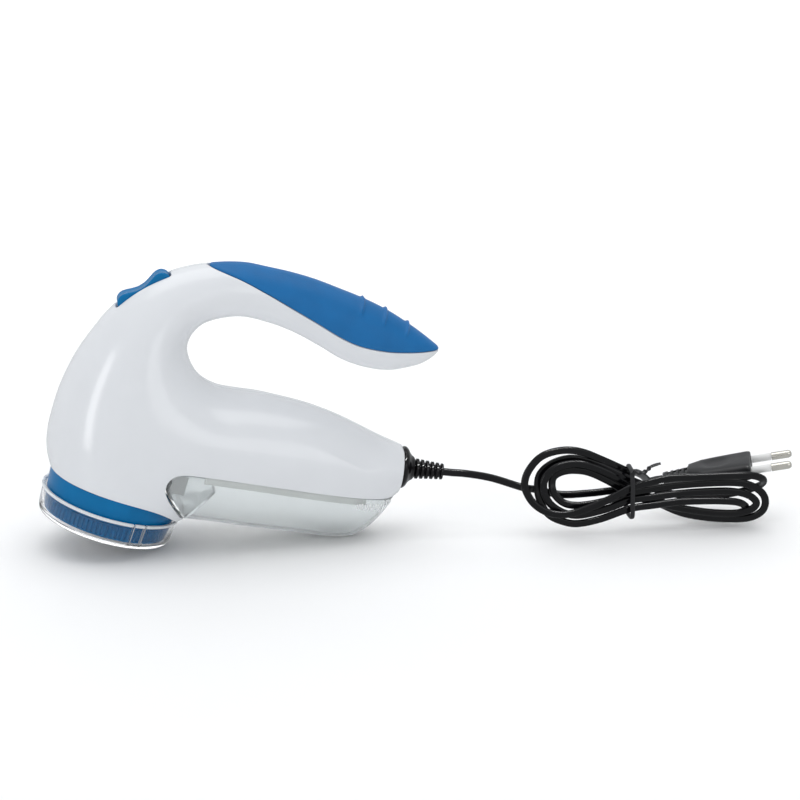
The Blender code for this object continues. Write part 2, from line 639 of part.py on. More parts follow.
def make_motor():
    house = lathe("fan_housing", [(11, 14.3), (30.2, 14.3), (30.2, 15.8), (24.5, 15.8),
                                  (24.5, 27.6), (23.0, 27.6), (23.0, 15.8), (11, 15.8)], 28,
                  BLACK_PLASTIC)
    outlet = block("cut_outlet", (10, 20, 9.0),
                   HEAD_FRAME @ Matrix.Translation((24 * MM, 0, 24.2 * MM)))
    boolean(house, as_cutter(outlet))
    mount = lathe("motor_mount", [(9.5, 28.0), (24.5, 28.0), (24.5, 30.5), (16.6, 30.5),
                                  (16.6, 44), (14.3, 44), (14.3, 30.9), (9.5, 30.9)], 28,
                  BLACK_PLASTIC)
    for k, angle in enumerate((90, 180, 270)):
        turn = HEAD_FRAME @ Matrix.Rotation(math.radians(angle), 4, "Z")
        arm = block(f"mount_arm_{k + 1}", (7.5, 8, 3.2),
                    turn @ Matrix.Translation((26.4 * MM, 0, 29.4 * MM)))
        boolean(mount, as_cutter(arm), "UNION")
    lathe("motor_can", [(5.0, 31.3), (MOTOR_R, 31.3), (MOTOR_R, 68), (12.9, 68), (12.9, 32.5),
                        (5.0, 32.5)], 28, STEEL)
    lathe("motor_bearing_front", [(1.6, 31.3), (4.7, 31.3), (4.7, 34.6), (1.6, 34.6)], 16, NICKEL)
    lathe("motor_end_cap", [(3.4, 68.3), (MOTOR_R, 68.3), (MOTOR_R, 71.5), (6.0, 72.2),
                            (3.4, 72.2)], 28, BLACK_PLASTIC)
    lathe("motor_bearing_rear", [(1.6, 68.6), (3.1, 68.6), (3.1, 72.0), (1.6, 72.0)], 14, NICKEL)
    for label, start in (("a", 25), ("b", 205)):
        arc_piece(f"motor_magnet_{label}", 10.4, 12.5, 38, 62, start, 130, MAGNET)
    for k, side in enumerate((-1, 1)):
        block(f"motor_terminal_{k + 1}", (3.0, 0.6, 5.0),
              HEAD_FRAME @ Matrix.Translation((0, side * 10 * MM, 74.6 * MM)), NICKEL)


def make_switch():
    base = frame_at(ROCKER_PIVOT, ROCKER_PITCH)
    half = [(0, 4.4), (4, 5.0), (8.0, 6.3), (11.0, 6.5), (13.4, 5.3), (14.7, 2.4), (14.4, -1.6)]
    prof = [(-x, z) for x, z in reversed(half)] + half[1:] + [(5, -3.0), (-5, -3.0)]
    button = prism("rocker_button", prof, -4.8, 4.8, BLUE_GLOSS, base)
    bevel(button, 0.8, 1, 50)
    block("switch_housing", (24, 12.4, 10.5), base @ Matrix.Translation((0, 0, -9.6 * MM)),
          BLACK_PLASTIC)
    for k, x in enumerate((-7, 0, 7)):
        block(f"switch_terminal_{k + 1}", (0.8, 4.8, 5.5),
              base @ Matrix.Translation((x * MM, 0, -18.0 * MM)), NICKEL)
    board = base @ Matrix.Translation((-7 * MM, 0, -24 * MM))
    block("circuit_board", (24, 15, 1.6), board, BOARD_GREEN)
    block("bridge_rectifier", (6.4, 8.4, 2.6), board @ Matrix.Translation((-7 * MM, 0, -2.5 * MM)),
          BLACK_PLASTIC)
    block("film_capacitor", (4.5, 10.5, 7.0), board @ Matrix.Translation((1.0 * MM, 0, -4.7 * MM)),
          ((0.45, 0.06, 0.04), 0.4))
    lathe("dropper_resistor", [(0, -4.5), (1.7, -4.5), (1.7, 4.5), (0, 4.5)], 12,
          ((0.30, 0.42, 0.50), 0.5),
          board @ Matrix.Translation((7.5 * MM, 0, -3.0 * MM)) @ Matrix.Rotation(math.pi / 2, 4, "X"))


def make_box(c):
    """Clear lint box: one open-topped shell with a ramp behind its nose."""
    rail = Matrix.Translation(Vector((20, 0, 32.3)) * MM) @ Matrix.Rotation(
        math.radians(RAIL_TILT), 4, "Y")
    axis = parent_empty("box_rail_axis", rail)
    box = skin_slab("lint_box", BODY_LOOP, 0.0)
    box.data.materials.append(material("lint_box", *CLEAR))
    inner = as_cutter(skin_slab("cut_box_hollow", hollow_loop(), BOX_WALL))
    boolean(box, inner)
    ramp_loop = [(-31.0, 17.6), (-15.8, 34.0), (-14.7, 33.0), (-29.9, 16.5)]
    ramp = as_cutter(slab("box_ramp", ramp_loop, lambda p: -half_width(p, 1.0),
                          lambda p: half_width(p, 1.0), rings=(0.4,), grid=30.0))
    boolean(box, ramp, "UNION")
    boolean(box, c["box_region"], "INTERSECT")
    boolean(box, c["foot"])
    boolean(box, c["nose"])
    hang(box, axis)
    line = shifted(BOX_EDGE, -0.9)
    line = line[(line[:, 0] > -26) & (line[:, 1] > 18) & (line[:, 0] < 62)]
    low = line + np.array([-0.8, -4.2])
    seal_loop = np.vstack([line, low[::-1]])
    seal = slab("box_seal", seal_loop, lambda p: -half_width(p, 3.0),
                lambda p: half_width(p, 3.0), CREAM, rings=(1.5,), grid=30.0)
    big = np.vstack([line + np.array([0.4, 2]), (low + np.array([-0.4, -2]))[::-1]])
    big = big[(big[:, 0] > -21) & (big[:, 0] < 56)]
    boolean(seal, as_cutter(slab("cut_seal", big, lambda p: -half_width(p, 5.0),
                                 lambda p: half_width(p, 5.0), rings=(1.5,), grid=30.0)))
    hang(seal, axis)


def make_duct():
    """Short duct from the fan's outlet into the lint box."""
    frame = HEAD_FRAME @ Matrix.Translation((29.0 * MM, 0, 33.2 * MM))
    duct = block("lint_duct", (7.4, 22, 11.0), frame, BLACK_PLASTIC)
    boolean(duct, as_cutter(block("cut_duct", (9.4, 19, 8.0), frame)))


def make_tail():
    prof = [(2.9, -7.5), (4.8, -7.5), (4.8, 0.3), (10.6, 0.3), (10.6, 2.2), (9.0, 3.6),
            (6.4, 5.2), (5.3, 7.4)]
    for k in range(5):
        h = 7.7 + 2.55 * k
        r = 5.1 - 0.22 * k
        prof += [(r, h), (r, h + 1.3), (r - 1.3, h + 1.5), (r - 1.3, h + 2.35)]
    prof += [(4.1, 20.6), (4.0, 21.6), (2.9, 21.6)]
    lathe("strain_relief", prof, 14, BLACK_RUBBER, TAIL_FRAME)
    clamp = TAIL_FRAME @ Matrix.Translation((0, 0, -18.0 * MM))
    bar = block("cord_clamp", (2.6, 14, 5.5), clamp @ Matrix.Translation((4.0 * MM, 0, 0)),
                BLACK_PLASTIC)
    for k, y in enumerate((-4.6, 4.6)):
        at = clamp @ Matrix.Translation((0, y * MM, 0)) @ Matrix.Rotation(math.pi / 2, 4, "Y")
        boolean(bar, as_cutter(lathe(f"cut_clamp_{k + 1}", [(0, -2), (1.5, -2), (1.5, 9), (0, 9)],
                                     12, frame=at)))
        lathe(f"clamp_screw_{k + 1}", [(0, -1.5), (1.1, -1.5), (1.1, 5.6), (2.2, 5.6), (2.2, 7.2),
                                       (0, 7.2)], 12, STEEL, at)


CORD_THICK = 1.25           # half sizes of the flat two-core cord
CORD_WIDE = 1.9
# Way points of the cord's centre line in mm: each half loop runs from the tie to one end
# of the bundle and back, so the loops cross over at the tie.
COIL = [
    (113, -0.6, 28.6), (125, -5, 27.3), (139.5, -11.5, 23.9), (146.9, -8.5, 21.5), (159.7, -9, 18.5),
    (174.4, -10, 19), (185.3, -10.5, 20), (194.6, -10.5, 20),
    # right loop 1, out of the back low
    (209.9, -10.5, 12.1), (220.2, -10.5, 7.2), (230.1, -11, 4.7), (243.4, -11.5, 3.1), (255.2, -13, 3.6),
    (261.6, -15, 7.7), (262.6, -16.5, 14.1), (259.1, -17, 19.5), (251.3, -17.5, 23.4),
    (238.5, -17.5, 24.4), (218.3, -17.5, 23.9), (204, -17.5, 22.4), (193.2, -17.5, 20.9),
    # left loop 1, the innermost
    (180.3, -17.5, 17), (168.5, -17, 15.1), (160.6, -16.5, 16.1), (155.7, -15, 20), (154.2, -13, 24.4),
    (155.2, -12, 28.9), (159.7, -11.5, 31.3), (166.1, -11.5, 31.8), (173.9, -12, 30.3),
    (184.8, -13, 24.8), (194.1, -14, 18.7),
    # right loop 2
    (206.9, -14, 14.1), (219.3, -14, 10.6), (234.5, -14, 7.7), (247.8, -14, 6.7), (255.7, -15, 8.7),
    (258.2, -16, 12.6), (253.7, -17, 17), (245.4, -17.5, 19.5), (233.5, -17.5, 20),
    (218.3, -17.5, 19.5), (204.5, -17.5, 18.1), (193.2, -17.5, 16.9),
    # left loop 2
    (180.3, -17.5, 12.6), (168.5, -17.5, 10.2), (161.1, -17.5, 11.1), (154.7, -17, 14.6),
    (150.8, -17, 19.5), (149.3, -16.5, 25.9), (151.3, -16, 31.3), (157.2, -15, 35.3),
    (166.6, -14.5, 36.3), (175.4, -14.5, 33.8), (184.8, -14.5, 29.1), (193.6, -14, 22.7),
    # right loop 3, the innermost
    (207.4, -13, 15.1), (220.2, -10, 9.2), (236, -7.5, 5.2), (246.3, -7.5, 4.2), (252.2, -9.5, 5.7),
    (253.7, -13, 9.2), (249.3, -16.5, 13.1), (241.4, -17.5, 14.6), (230.6, -17.5, 15.1),
    (218.3, -17.5, 15.1), (204.5, -17.5, 13.8), (193.2, -17.5, 12.5),
    # left loop 3, the lowest
    (178.4, -17.5, 7.7), (166.6, -17.5, 5.7), (158.7, -17, 7.2), (152.3, -16.5, 10.6),
    (148.3, -15, 16.6), (146.9, -13, 23.9), (148.3, -12, 30.8), (154.2, -11.5, 35.8),
    (163.1, -11.5, 38.2), (172, -12, 36.7), (181.8, -13, 32.7), (193.6, -14, 26.7),
    # right loop 4, back behind the others and forward over the top
    (207.4, -11, 20), (220.2, -8, 15.6), (236, -7, 14.1), (250.8, -7.5, 15.6), (259.1, -10.5, 19),
    (261.6, -14.5, 22.5), (260.1, -18, 25.9), (253.7, -20, 28.4), (242.4, -21, 28.9),
    (227.1, -21, 28.9), (212.4, -21, 28.9), (202.5, -21, 27.1), (192.7, -21, 24.5),
    # left loop 4, the outermost, then off to the plug
    (183.8, -21, 20), (172.5, -21, 15.1), (161.6, -21, 12.1), (152.8, -20.5, 12.6), (145.9, -20, 16.1),
    (141.4, -19, 21.5), (139.5, -18, 27.9), (141.9, -17, 34.8), (148.3, -16, 41.2), (158.2, -15, 43.6),
    (168.5, -14, 42.2), (180.3, -12.5, 36.7), (193.6, -10.5, 29.7), (198.6, -5.5, 27.4), (203, 1, 23.6)]
TIE_AT = (193.2, -15.8, 21.0)
PLUG_FRAME = (frame_at((215, 8.5, 19.0)) @ Matrix.Rotation(math.radians(-14), 4, "Z")
              @ Matrix.Rotation(math.radians(78.5), 4, "Y"))


def cord_path():
    """Centre line of the cord: out of the tail, round the bundle and into the plug."""
    out = [TAIL_FRAME @ Vector((0, 0, h * MM)) for h in (-23, -8, 6, 24)]
    end = [PLUG_FRAME @ Vector((0, 0, h * MM)) for h in (-7, -3.4, -1.2, 0.2)]
    pts = [tuple(c / MM for c in p) for p in out] + COIL + [tuple(c / MM for c in p) for p in end]
    return spline(pts, 2)


def make_cord():
    tube("power_cord", cord_path(), CORD_THICK, CORD_WIDE, 6, BLACK_RUBBER)
    loop = []
    for k in range(24):
        a = 2 * math.pi * k / 24
        ca, sa = math.cos(a), math.sin(a)
        loop.append((8.2 * math.copysign(abs(ca) ** 0.4, ca),
                     13.0 * math.copysign(abs(sa) ** 0.4, sa)))
    verts, faces = [], []
    for cy, cz in loop:
        length = math.hypot(cy, cz)
        for k in range(6):
            a = 2 * math.pi * k / 6
            grow = 1 + 0.8 * math.sin(a) / length
            verts.append((TIE_AT[0] + 1.1 * math.cos(a), cy * grow + TIE_AT[1],
                          cz * grow + TIE_AT[2]))
    n = len(loop)
    for i in range(n):
        for k in range(6):
            faces.append([6 * i + k, 6 * i + (k + 1) % 6, 6 * ((i + 1) % n) + (k + 1) % 6,
                          6 * ((i + 1) % n) + k])
    add_object("cord_tie", verts, faces, BLACK_RUBBER)
    prof = [(-4.4, 0.6), (-6.2, 13.0), (-8.6, 16), (-11.6, 20), (-12.8, 34), (-13.2, 45.4),
            (13.2, 45.4), (12.8, 34), (11.6, 20), (8.6, 16), (6.2, 13.0), (4.4, 0.6)]
    verts = []
    for x in (-4.6, 4.6):
        verts += [(x * (0.66 if h < 14 else 0.82 if h < 17 else 1), y, h) for y, h in prof]
    n = len(prof)
    faces = [list(range(n)), [2 * n - 1 - i for i in range(n)]]
    faces += [[i, (i + 1) % n, n + (i + 1) % n, n + i] for i in range(n)]
    body = add_object("plug_body", verts, faces, BLACK_PLASTIC, PLUG_FRAME, smooth=False)
    bevel(body, 1.5, 2, 50)
    for k, y in enumerate((-9.3, 9.3)):
        at = PLUG_FRAME @ Matrix.Translation((0, y * MM, 0))
        sleeve = [(0, 45.8), (1.9, 45.8), (1.9, 55.6), (0, 55.6)]
        lathe(f"pin_sleeve_{k + 1}", sleeve, 12, WHITE_SLEEVE, at)
        lathe(f"plug_pin_{k + 1}", [(0, 55.9), (2.0, 55.9), (2.0, 64.6), (1.2, 66.0), (0, 66.2)],
              12, NICKEL, at)


def make_wires():
    for k, side in enumerate((-1, 1)):
        path = spline([(60, side * 3, 36.5), (34, side * 4, 46), (6, side * 5, 55),
                       (-14, side * 8, 62), (-26, side * 11, 75),
                       (-31.5, side * 9.5, 92), (-35, side * 10, 108)], 2)
        tube(f"supply_lead_{k + 1}", path, 0.8, 0.8, 6, ((0.05, 0.2, 0.6), 0.5))
        start = HEAD_FRAME @ Vector((0, side * 10 * MM, 77.6 * MM))
        end = frame_at(ROCKER_PIVOT, ROCKER_PITCH) @ Vector((-14 * MM, side * 9 * MM, -22 * MM))
        mid = (start + end) / 2 + Vector((-4 * MM, 0, 0))
        path = spline([tuple(c / MM for c in p) for p in (start, mid, end)], 4)
        tube(f"motor_lead_{k + 1}", path, 0.7, 0.7, 6, ((0.5, 0.03, 0.03), 0.5))


def main():
    for obj in list(bpy.data.objects):
        bpy.data.objects.remove(obj, do_unlink=True)
    cutters = make_cutters()
    make_body(cutters)
    make_collar()
    make_cap()
    make_foil_unit()
    make_rotor()
    make_motor()
    make_switch()
    make_box(cutters)
    make_duct()
    make_tail()
    make_cord()
    make_wires()


main()
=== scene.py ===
"""Corded fabric shaver: fine skins, looks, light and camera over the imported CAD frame."""
import math

import bmesh
import bpy
import numpy as np
from mathutils import Matrix, Vector
from mathutils.geometry import delaunay_2d_cdt


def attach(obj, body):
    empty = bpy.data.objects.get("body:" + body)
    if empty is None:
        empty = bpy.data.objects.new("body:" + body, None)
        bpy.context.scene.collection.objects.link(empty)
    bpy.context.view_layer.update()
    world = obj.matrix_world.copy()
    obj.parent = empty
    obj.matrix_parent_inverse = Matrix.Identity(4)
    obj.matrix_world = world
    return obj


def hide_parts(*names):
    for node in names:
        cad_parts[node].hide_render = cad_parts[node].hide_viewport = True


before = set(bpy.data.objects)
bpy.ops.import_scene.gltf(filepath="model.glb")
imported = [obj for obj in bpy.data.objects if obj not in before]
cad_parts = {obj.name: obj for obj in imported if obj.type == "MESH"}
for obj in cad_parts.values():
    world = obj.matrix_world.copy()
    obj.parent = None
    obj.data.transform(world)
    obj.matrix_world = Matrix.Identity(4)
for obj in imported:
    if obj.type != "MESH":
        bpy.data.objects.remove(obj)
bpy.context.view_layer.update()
MM = 0.001

# ---- dimensions shared with the CAD model (mm) --------------------------------------------
HEAD_ORIGIN = np.array([-69.1, 0.0, 9.6])
TILT = math.radians(17.5)
HEAD_R = 33.4
UP = np.array([math.sin(TILT), 0.0, math.cos(TILT)])
ACROSS = np.array([math.cos(TILT), 0.0, -math.sin(TILT)])
HEAD_FRAME = Matrix((
    (ACROSS[0], 0.0, UP[0], HEAD_ORIGIN[0] * MM),
    (0.0, 1.0, 0.0, 0.0),
    (ACROSS[2], 0.0, UP[2], HEAD_ORIGIN[2] * MM),
    (0.0, 0.0, 0.0, 1.0),
))
HEAD_FRONT = [(-94.3, 41.3), (-95.7, 49.5), (-95.4, 57.5), (-93.6, 66), (-88.5, 81.5),
              (-80, 98), (-68.7, 113.3), (-61.5, 121), (-51.5, 128.7), (-40, 134.8),
              (-26.5, 139.3), (-11.5, 141.2)]
HANDLE_TOP = [(3, 140.8), (14.7, 138.1), (26.5, 135), (38.3, 131), (50, 126), (62, 120.6),
              (74, 114), (85.6, 105.9), (95.5, 97.8)]
HANDLE_TIP = [(98.6, 94.4), (96.5, 91.4)]
HANDLE_UNDER = [(91.5, 88.1), (85.6, 86.1), (74, 84.4), (62, 86.2), (50, 90.8), (38.3, 98.3),
                (26.5, 105.3), (14.7, 110.4), (0, 114.2)]
FINGER_GAP = [(-14.8, 112.3), (-22, 107.6), (-25.6, 100.6), (-24.6, 92.5), (-20, 84.5),
              (-12, 79.2)]
BODY_TOP = [(-3, 77), (8.8, 74.9), (20.6, 71.8), (32.4, 68.2), (44.2, 63.4), (56, 57.4),
            (68, 50.6), (81.1, 43.9)]
TAIL = [(91.5, 37.5), (94.5, 31.5), (90, 25.5), (80.5, 22.6)]
BOX_UNDER = [(75.5, 19), (73, 14.6), (68.3, 8.8), (62, 3.3), (54, -0.4), (44, -0.6),
             (32.4, 1.3), (20.6, 3.3), (8.8, 5.3), (-3, 7.4), (-14.8, 9.8), (-29.5, 12.4)]
OUTLINE = HEAD_FRONT + HANDLE_TOP + HANDLE_TIP + HANDLE_UNDER + FINGER_GAP + BODY_TOP + TAIL \
    + BOX_UNDER
# Roundness of the body: x, z and the radius that its section has there.
GIRTH = [(-69, 12, 33.4), (-58, 50, 29), (-48, 88, 25), (-40, 122, 17), (-8, 128, 13),
         (30, 118, 12.3), (62, 103, 12), (92, 95, 11), (-18, 60, 27), (-10, 30, 25),
         (20, 45, 22.5), (20, 15, 22.5), (55, 38, 20), (50, 10, 20), (82, 33, 18)]
GIRTH_REACH = 17.0         # how far each of them is felt
BOX_LINE = [(-24, 1), (-29, 12), (-34.3, 23.5), (-38.0, 31.5), (-39.0, 37), (-36.4, 41.6),
            (-30.5, 43.3), (-18, 41.0), (6.5, 35.4), (39.5, 27.8), (60.5, 23.2), (74.0, 20.6),
            (90, 19.0)]
GRIP_LINE = [(-21.5, 143.2), (-12.3, 140.2), (1.1, 134.7), (13.1, 127.9), (25.4, 120.0),
             (37.7, 112.0), (48.8, 104.6), (58.6, 99.8), (71.0, 96.6), (82.3, 95.2), (92.5, 94.6),
             (106, 94.4)]
ROCKER_PIVOT = (-45.1, 0.0, 126.6)
ROCKER_PITCH = -29.9
ROCKER_OPENING = (15.7, 5.2, 1.6)   # half length, half width and corner radius
TAIL_POINT = (79.4, 33.4)
SCREWS = [(-4, 127), (28, 110), (-76, 82), (-22, 62), (56, 46.5)]
SCREW_HOLE = 2.9           # radius of the screw wells' mouths
TAIL_PITCH = 99.0          # tilt of the tail's outward axis from straight up, degrees
TAIL_HOLE = 8.0            # radius of the hole in the tail's end plate
HANDLE_FLOOR = 65.0        # the handle lies above this height, the tail below it
SEAM = 0.1                 # half the gap between the two shell halves
SEAM_BEVEL = 0.9           # half width below which the seam's edge is eased
WELD = 0.35                # half width below which a skin's two sides meet
FINE = 1.5                       # grid of the body skins
SKIN_RINGS = (0.012, 0.07, 0.22, 0.45, 0.9, 1.5)   # rows of points along a skin's rim


def head_point(across, height):
    """Side-view point given in the tilted head's own axes."""
    p = HEAD_ORIGIN + across * ACROSS + height * UP
    return float(p[0]), float(p[2])


def spline(points, steps):
    """Catmull-Rom curve through the points; steps samples per span."""
    pts = [np.array(p, float) for p in points]
    out = []
    for i in range(len(pts) - 1):
        b, c = pts[i], pts[i + 1]
        a = pts[i - 1] if i else 2 * b - c
        d = pts[i + 2] if i + 2 < len(pts) else 2 * c - b
        for k in range(steps):
            t = k / steps
            out.append(0.5 * (2 * b + (c - a) * t + (2 * a - 5 * b + 4 * c - d) * t * t
                              + (3 * b - a - 3 * c + d) * t ** 3))
    out.append(pts[-1])
    return np.array(out)


O = spline(OUTLINE, 14)
GIRTH_LOOP = np.vstack([O, [head_point(HEAD_R, h) for h in (11.5, -25, -75)],
                        [head_point(-HEAD_R, h) for h in (-75, -25, 21.5)]])


def depth_inside(points):
    """Smooth inside distance: equal to the distance from the outline close to it."""
    p = np.asarray(points, float)
    a = GIRTH_LOOP
    along = np.roll(a, -1, axis=0) - a
    length = np.hypot(along[:, 0], along[:, 1])
    along = along / length[:, None]
    total = np.zeros(len(p))
    for k in range(len(a)):
        rel = p - a[k]
        t1 = rel @ along[k]
        t2 = t1 - length[k]
        h = rel[:, 0] * along[k, 1] - rel[:, 1] * along[k, 0]
        h = np.where(np.abs(h) < 1e-5, 1e-5, h)
        total += (t1 / np.hypot(t1, h) - t2 / np.hypot(t2, h)) / h
    return np.where(total > 1e-6, 2.0 / np.maximum(total, 1e-6), 0.0)


def girth(points):
    """Section radius blended between the GIRTH points."""
    g = np.array(GIRTH)
    d2 = ((np.asarray(points, float)[:, None, :] - g[None, :, :2]) ** 2).sum(2)
    w = np.exp(-(d2 - d2.min(1)[:, None]) / (2 * GIRTH_REACH ** 2))
    return (w * g[None, :, 2]).sum(1) / w.sum(1)


def square_width(points):
    """Square of the body's half width."""
    return 2 * girth(points) * np.maximum(depth_inside(points), 0.0)


def surface(points):
    """Half width and outward normal (for the +Y side) of the body at side-view points."""
    p = np.asarray(points, float)
    s = square_width(p)
    e = 0.05
    gx, gz = ((square_width(p + d) - square_width(p - d)) / (2 * e) for d in np.eye(2) * e)
    h = np.sqrt(s)
    n = np.column_stack([-gx / 2, h, -gz / 2])
    return h, n / np.maximum(np.linalg.norm(n, axis=1), 1e-9)[:, None]


# ---- side-view polygon tools --------------------------------------------------------------
def resample(line, step):
    """Points evenly spaced along an open line."""
    d = np.r_[0, np.cumsum(np.hypot(*np.diff(line, axis=0).T))]
    n = max(2, int(round(d[-1] / step)) + 1)
    t = np.linspace(0, d[-1], n)
    return np.column_stack([np.interp(t, d, line[:, 0]), np.interp(t, d, line[:, 1])])


def inward_normals(poly):
    nxt, prv = np.roll(poly, -1, axis=0), np.roll(poly, 1, axis=0)
    tangent = nxt - prv
    tangent /= np.hypot(tangent[:, 0], tangent[:, 1])[:, None]
    signed = 0.5 * np.sum(poly[:, 0] * nxt[:, 1] - nxt[:, 0] * poly[:, 1])
    return np.stack([-tangent[:, 1], tangent[:, 0]], 1) * (1 if signed > 0 else -1)


def clearance(line, pts, closed=True):
    """Distance from each point to a line or a closed polygon."""
    a = line if closed else line[:-1]
    b = np.roll(line, -1, axis=0) if closed else line[1:]
    best = np.full(len(pts), 1e9)
    for p, ab in zip(a, b - a):
        ap = pts - p
        t = np.clip(ap @ ab / max(ab @ ab, 1e-12), 0, 1)
        best = np.minimum(best, np.hypot(*(ap - t[:, None] * ab).T))
    return best


def inside(poly, pts):
    """Which points lie inside a closed polygon."""
    nxt = np.roll(poly, -1, axis=0)
    odd = np.zeros(len(pts), bool)
    for (ax, az), (bx, bz) in zip(poly, nxt):
        if az == bz:
            continue
        cross = (az > pts[:, 1]) != (bz > pts[:, 1])
        odd ^= cross & (pts[:, 0] < (bx - ax) * (pts[:, 1] - az) / (bz - az) + ax)
    return odd


def nearest(line, point):
    """Index of the line's point that is closest to a point."""
    return int(np.argmin(np.hypot(*(line - np.array(point)).T)))


def left_normals(line):
    """Unit normals on the left-hand side of an open line."""
    t = np.gradient(line, axis=0)
    t /= np.hypot(t[:, 0], t[:, 1])[:, None]
    return np.stack([-t[:, 1], t[:, 0]], 1)


def shifted(line, dist):
    """Open line moved to its left by a distance."""
    return line + left_normals(line) * dist


def triangulated(poly, grid, rings, detail=None, holes=()):
    """Delaunay mesh of a side-view region, closer along its boundary and at extra points.

    holes lists (x, z, radius) circles that are left open.
    """
    inward = inward_normals(poly)
    inner = []
    for dist in rings:
        pts = poly + inward * dist
        inner.append(pts[inside(poly, pts) & (clearance(poly, pts) > 0.9 * dist)])
    lo, hi = poly.min(0), poly.max(0)
    rows = np.array([(lo[0] + grid * (i + 0.5 * (j % 2)), lo[1] + grid * 0.866 * j)
                     for j in range(int((hi[1] - lo[1]) / grid / 0.866) + 2)
                     for i in range(int((hi[0] - lo[0]) / grid) + 2)])
    rows = rows[inside(poly, rows)]
    rows = rows[clearance(poly, rows) > rings[-1] + 0.4 * grid]
    if detail is not None:
        detail = detail[inside(poly, detail)]
        detail = detail[clearance(poly, detail) > 0.3]
        rows = rows[[np.hypot(*(detail - p).T).min() > 0.8 for p in rows]]
        inner.append(detail)
    n = len(poly)
    edges = [(i, (i + 1) % n) for i in range(n)]
    turn = np.radians(np.arange(0, 360, 12))
    circle = np.column_stack([np.cos(turn), np.sin(turn)])
    pts, count = [poly], n
    for x, z, radius in holes:
        rows = rows[np.hypot(rows[:, 0] - x, rows[:, 1] - z) > radius + 1.2]
        edges += [(count + k, count + (k + 1) % len(circle)) for k in range(len(circle))]
        count += len(circle)
        pts.append(circle * radius + [x, z])
        inner.append(circle * (radius + 0.35) + [x, z])
    pts = np.vstack(pts + inner + [rows])
    verts, _, faces, _, _, _ = delaunay_2d_cdt([Vector(p) for p in pts], edges, [], 1, 1e-7)
    verts = np.array([tuple(v) for v in verts])
    faces = [list(f) for f in faces]
    for x, z, radius in holes:
        faces = [f for f in faces
                 if math.hypot(*(verts[f].mean(0) - [x, z])) > radius * 0.97]
    return verts, faces


# ---- objects ------------------------------------------------------------------------------
def linked(name, data):
    """New object in the scene for a mesh, a light or a camera."""
    obj = bpy.data.objects.new(name, data)
    bpy.context.scene.collection.objects.link(obj)
    return obj


def add_mesh(name, verts, faces, mat, body, node=None, place=None, sharp=40.0):
    """Piece from vertices in mm; it rides on a body and may stand for a CAD node."""
    mesh = bpy.data.meshes.new(name)
    mesh.from_pydata([tuple(float(c) * MM for c in v) for v in verts], [], faces)
    bm = bmesh.new()
    bm.from_mesh(mesh)
    bmesh.ops.recalc_face_normals(bm, faces=bm.faces)
    bm.to_mesh(mesh)
    bm.free()
    if place is not None:
        mesh.transform(place)
    obj = linked(name, mesh)
    mesh.materials.append(mat)
    mesh.shade_smooth()
    mesh.set_sharp_from_angle(angle=math.radians(sharp))
    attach(obj, body)
    if node:
        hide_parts(*([node] if isinstance(node, str) else node))
    return obj


def lathe(profile, segments, radius=None, height=None):
    """Vertices and faces of a closed (r, h) profile turned about +Z."""
    verts, faces, rings = [], [], []
    for r, h in profile:
        if r < 1e-6:
            rings.append([len(verts)])
            verts.append((0.0, 0.0, h))
            continue
        rings.append(list(range(len(verts), len(verts) + segments)))
        for k in range(segments):
            a = 2 * math.pi * k / segments
            rr = radius(r, h, a) if radius else r
            hh = height(r, h, a) if height else h
            verts.append((rr * math.cos(a), rr * math.sin(a), hh))
    m = len(rings)
    for i in range(m):
        p, q = rings[i], rings[(i + 1) % m]
        if len(p) == 1 and len(q) == 1:
            continue
        for k in range(segments):
            k2 = (k + 1) % segments
            if len(p) == 1:
                faces.append([p[0], q[k], q[k2]])
            elif len(q) == 1:
                faces.append([p[k], q[0], p[k2]])
            else:
                faces.append([p[k], q[k], q[k2], p[k2]])
    return verts, faces


def rounded(profile, radius, steps=3):
    """Profile with its corners rounded; points with a third value 0 stay sharp."""
    out = []
    n = len(profile)
    for i, p in enumerate(profile):
        a, b, c = (np.array(profile[(i + k) % n][:2], float) for k in (-1, 0, 1))
        if b[0] < 1e-6 or (len(p) > 2 and p[2] == 0):
            out.append(tuple(b))
            continue
        u, v = a - b, c - b
        lu, lv = np.linalg.norm(u), np.linalg.norm(v)
        r = min(p[2] if len(p) > 2 else radius, 0.45 * lu, 0.45 * lv)
        for k in range(steps + 1):
            t = k / steps
            q = (1 - t) ** 2 * (b + u / lu * r) + 2 * t * (1 - t) * b + t * t * (b + v / lv * r)
            out.append(tuple(q))
    return out


def frame_at(point, pitch=0.0):
    """Axes at a point given in mm, tilted about +Y."""
    return Matrix.Translation(Vector(point) * MM) @ Matrix.Rotation(math.radians(pitch), 4, "Y")


def boundary(faces):
    """Edges that only one face uses."""
    edges = {(a, b) for f in faces for a, b in zip(f, f[1:] + f[:1])}
    return [(a, b) for a, b in edges if (b, a) not in edges]


def plate_faces(faces, count, base=0):
    """Faces of a plate: a sheet, its turned copy count vertices on, and the rim."""
    solid = [[base + i for i in f] for f in faces]
    solid += [[base + count + i for i in f[::-1]] for f in faces]
    return solid + [[base + q, base + p, base + count + p, base + count + q]
                    for p, q in boundary(faces)]


def tube_faces(rings, sides, closed=False):
    """Faces of a tube of equal rings of vertices, capped where it is open."""
    faces = []
    for i in range(rings if closed else rings - 1):
        j = (i + 1) % rings
        for k in range(sides):
            k2 = (k + 1) % sides
            faces.append([i * sides + k, i * sides + k2, j * sides + k2, j * sides + k])
    if not closed:
        faces.append(list(range(sides)))
        faces.append([rings * sides - 1 - k for k in range(sides)])
    return faces


def bent(value, power):
    """Signed power; below one it squares off a sine or cosine."""
    return math.copysign(abs(value) ** power, value)


# ---- looks --------------------------------------------------------------------------------
def found(tree, kind):
    return next(n for n in tree.nodes if n.type == kind)


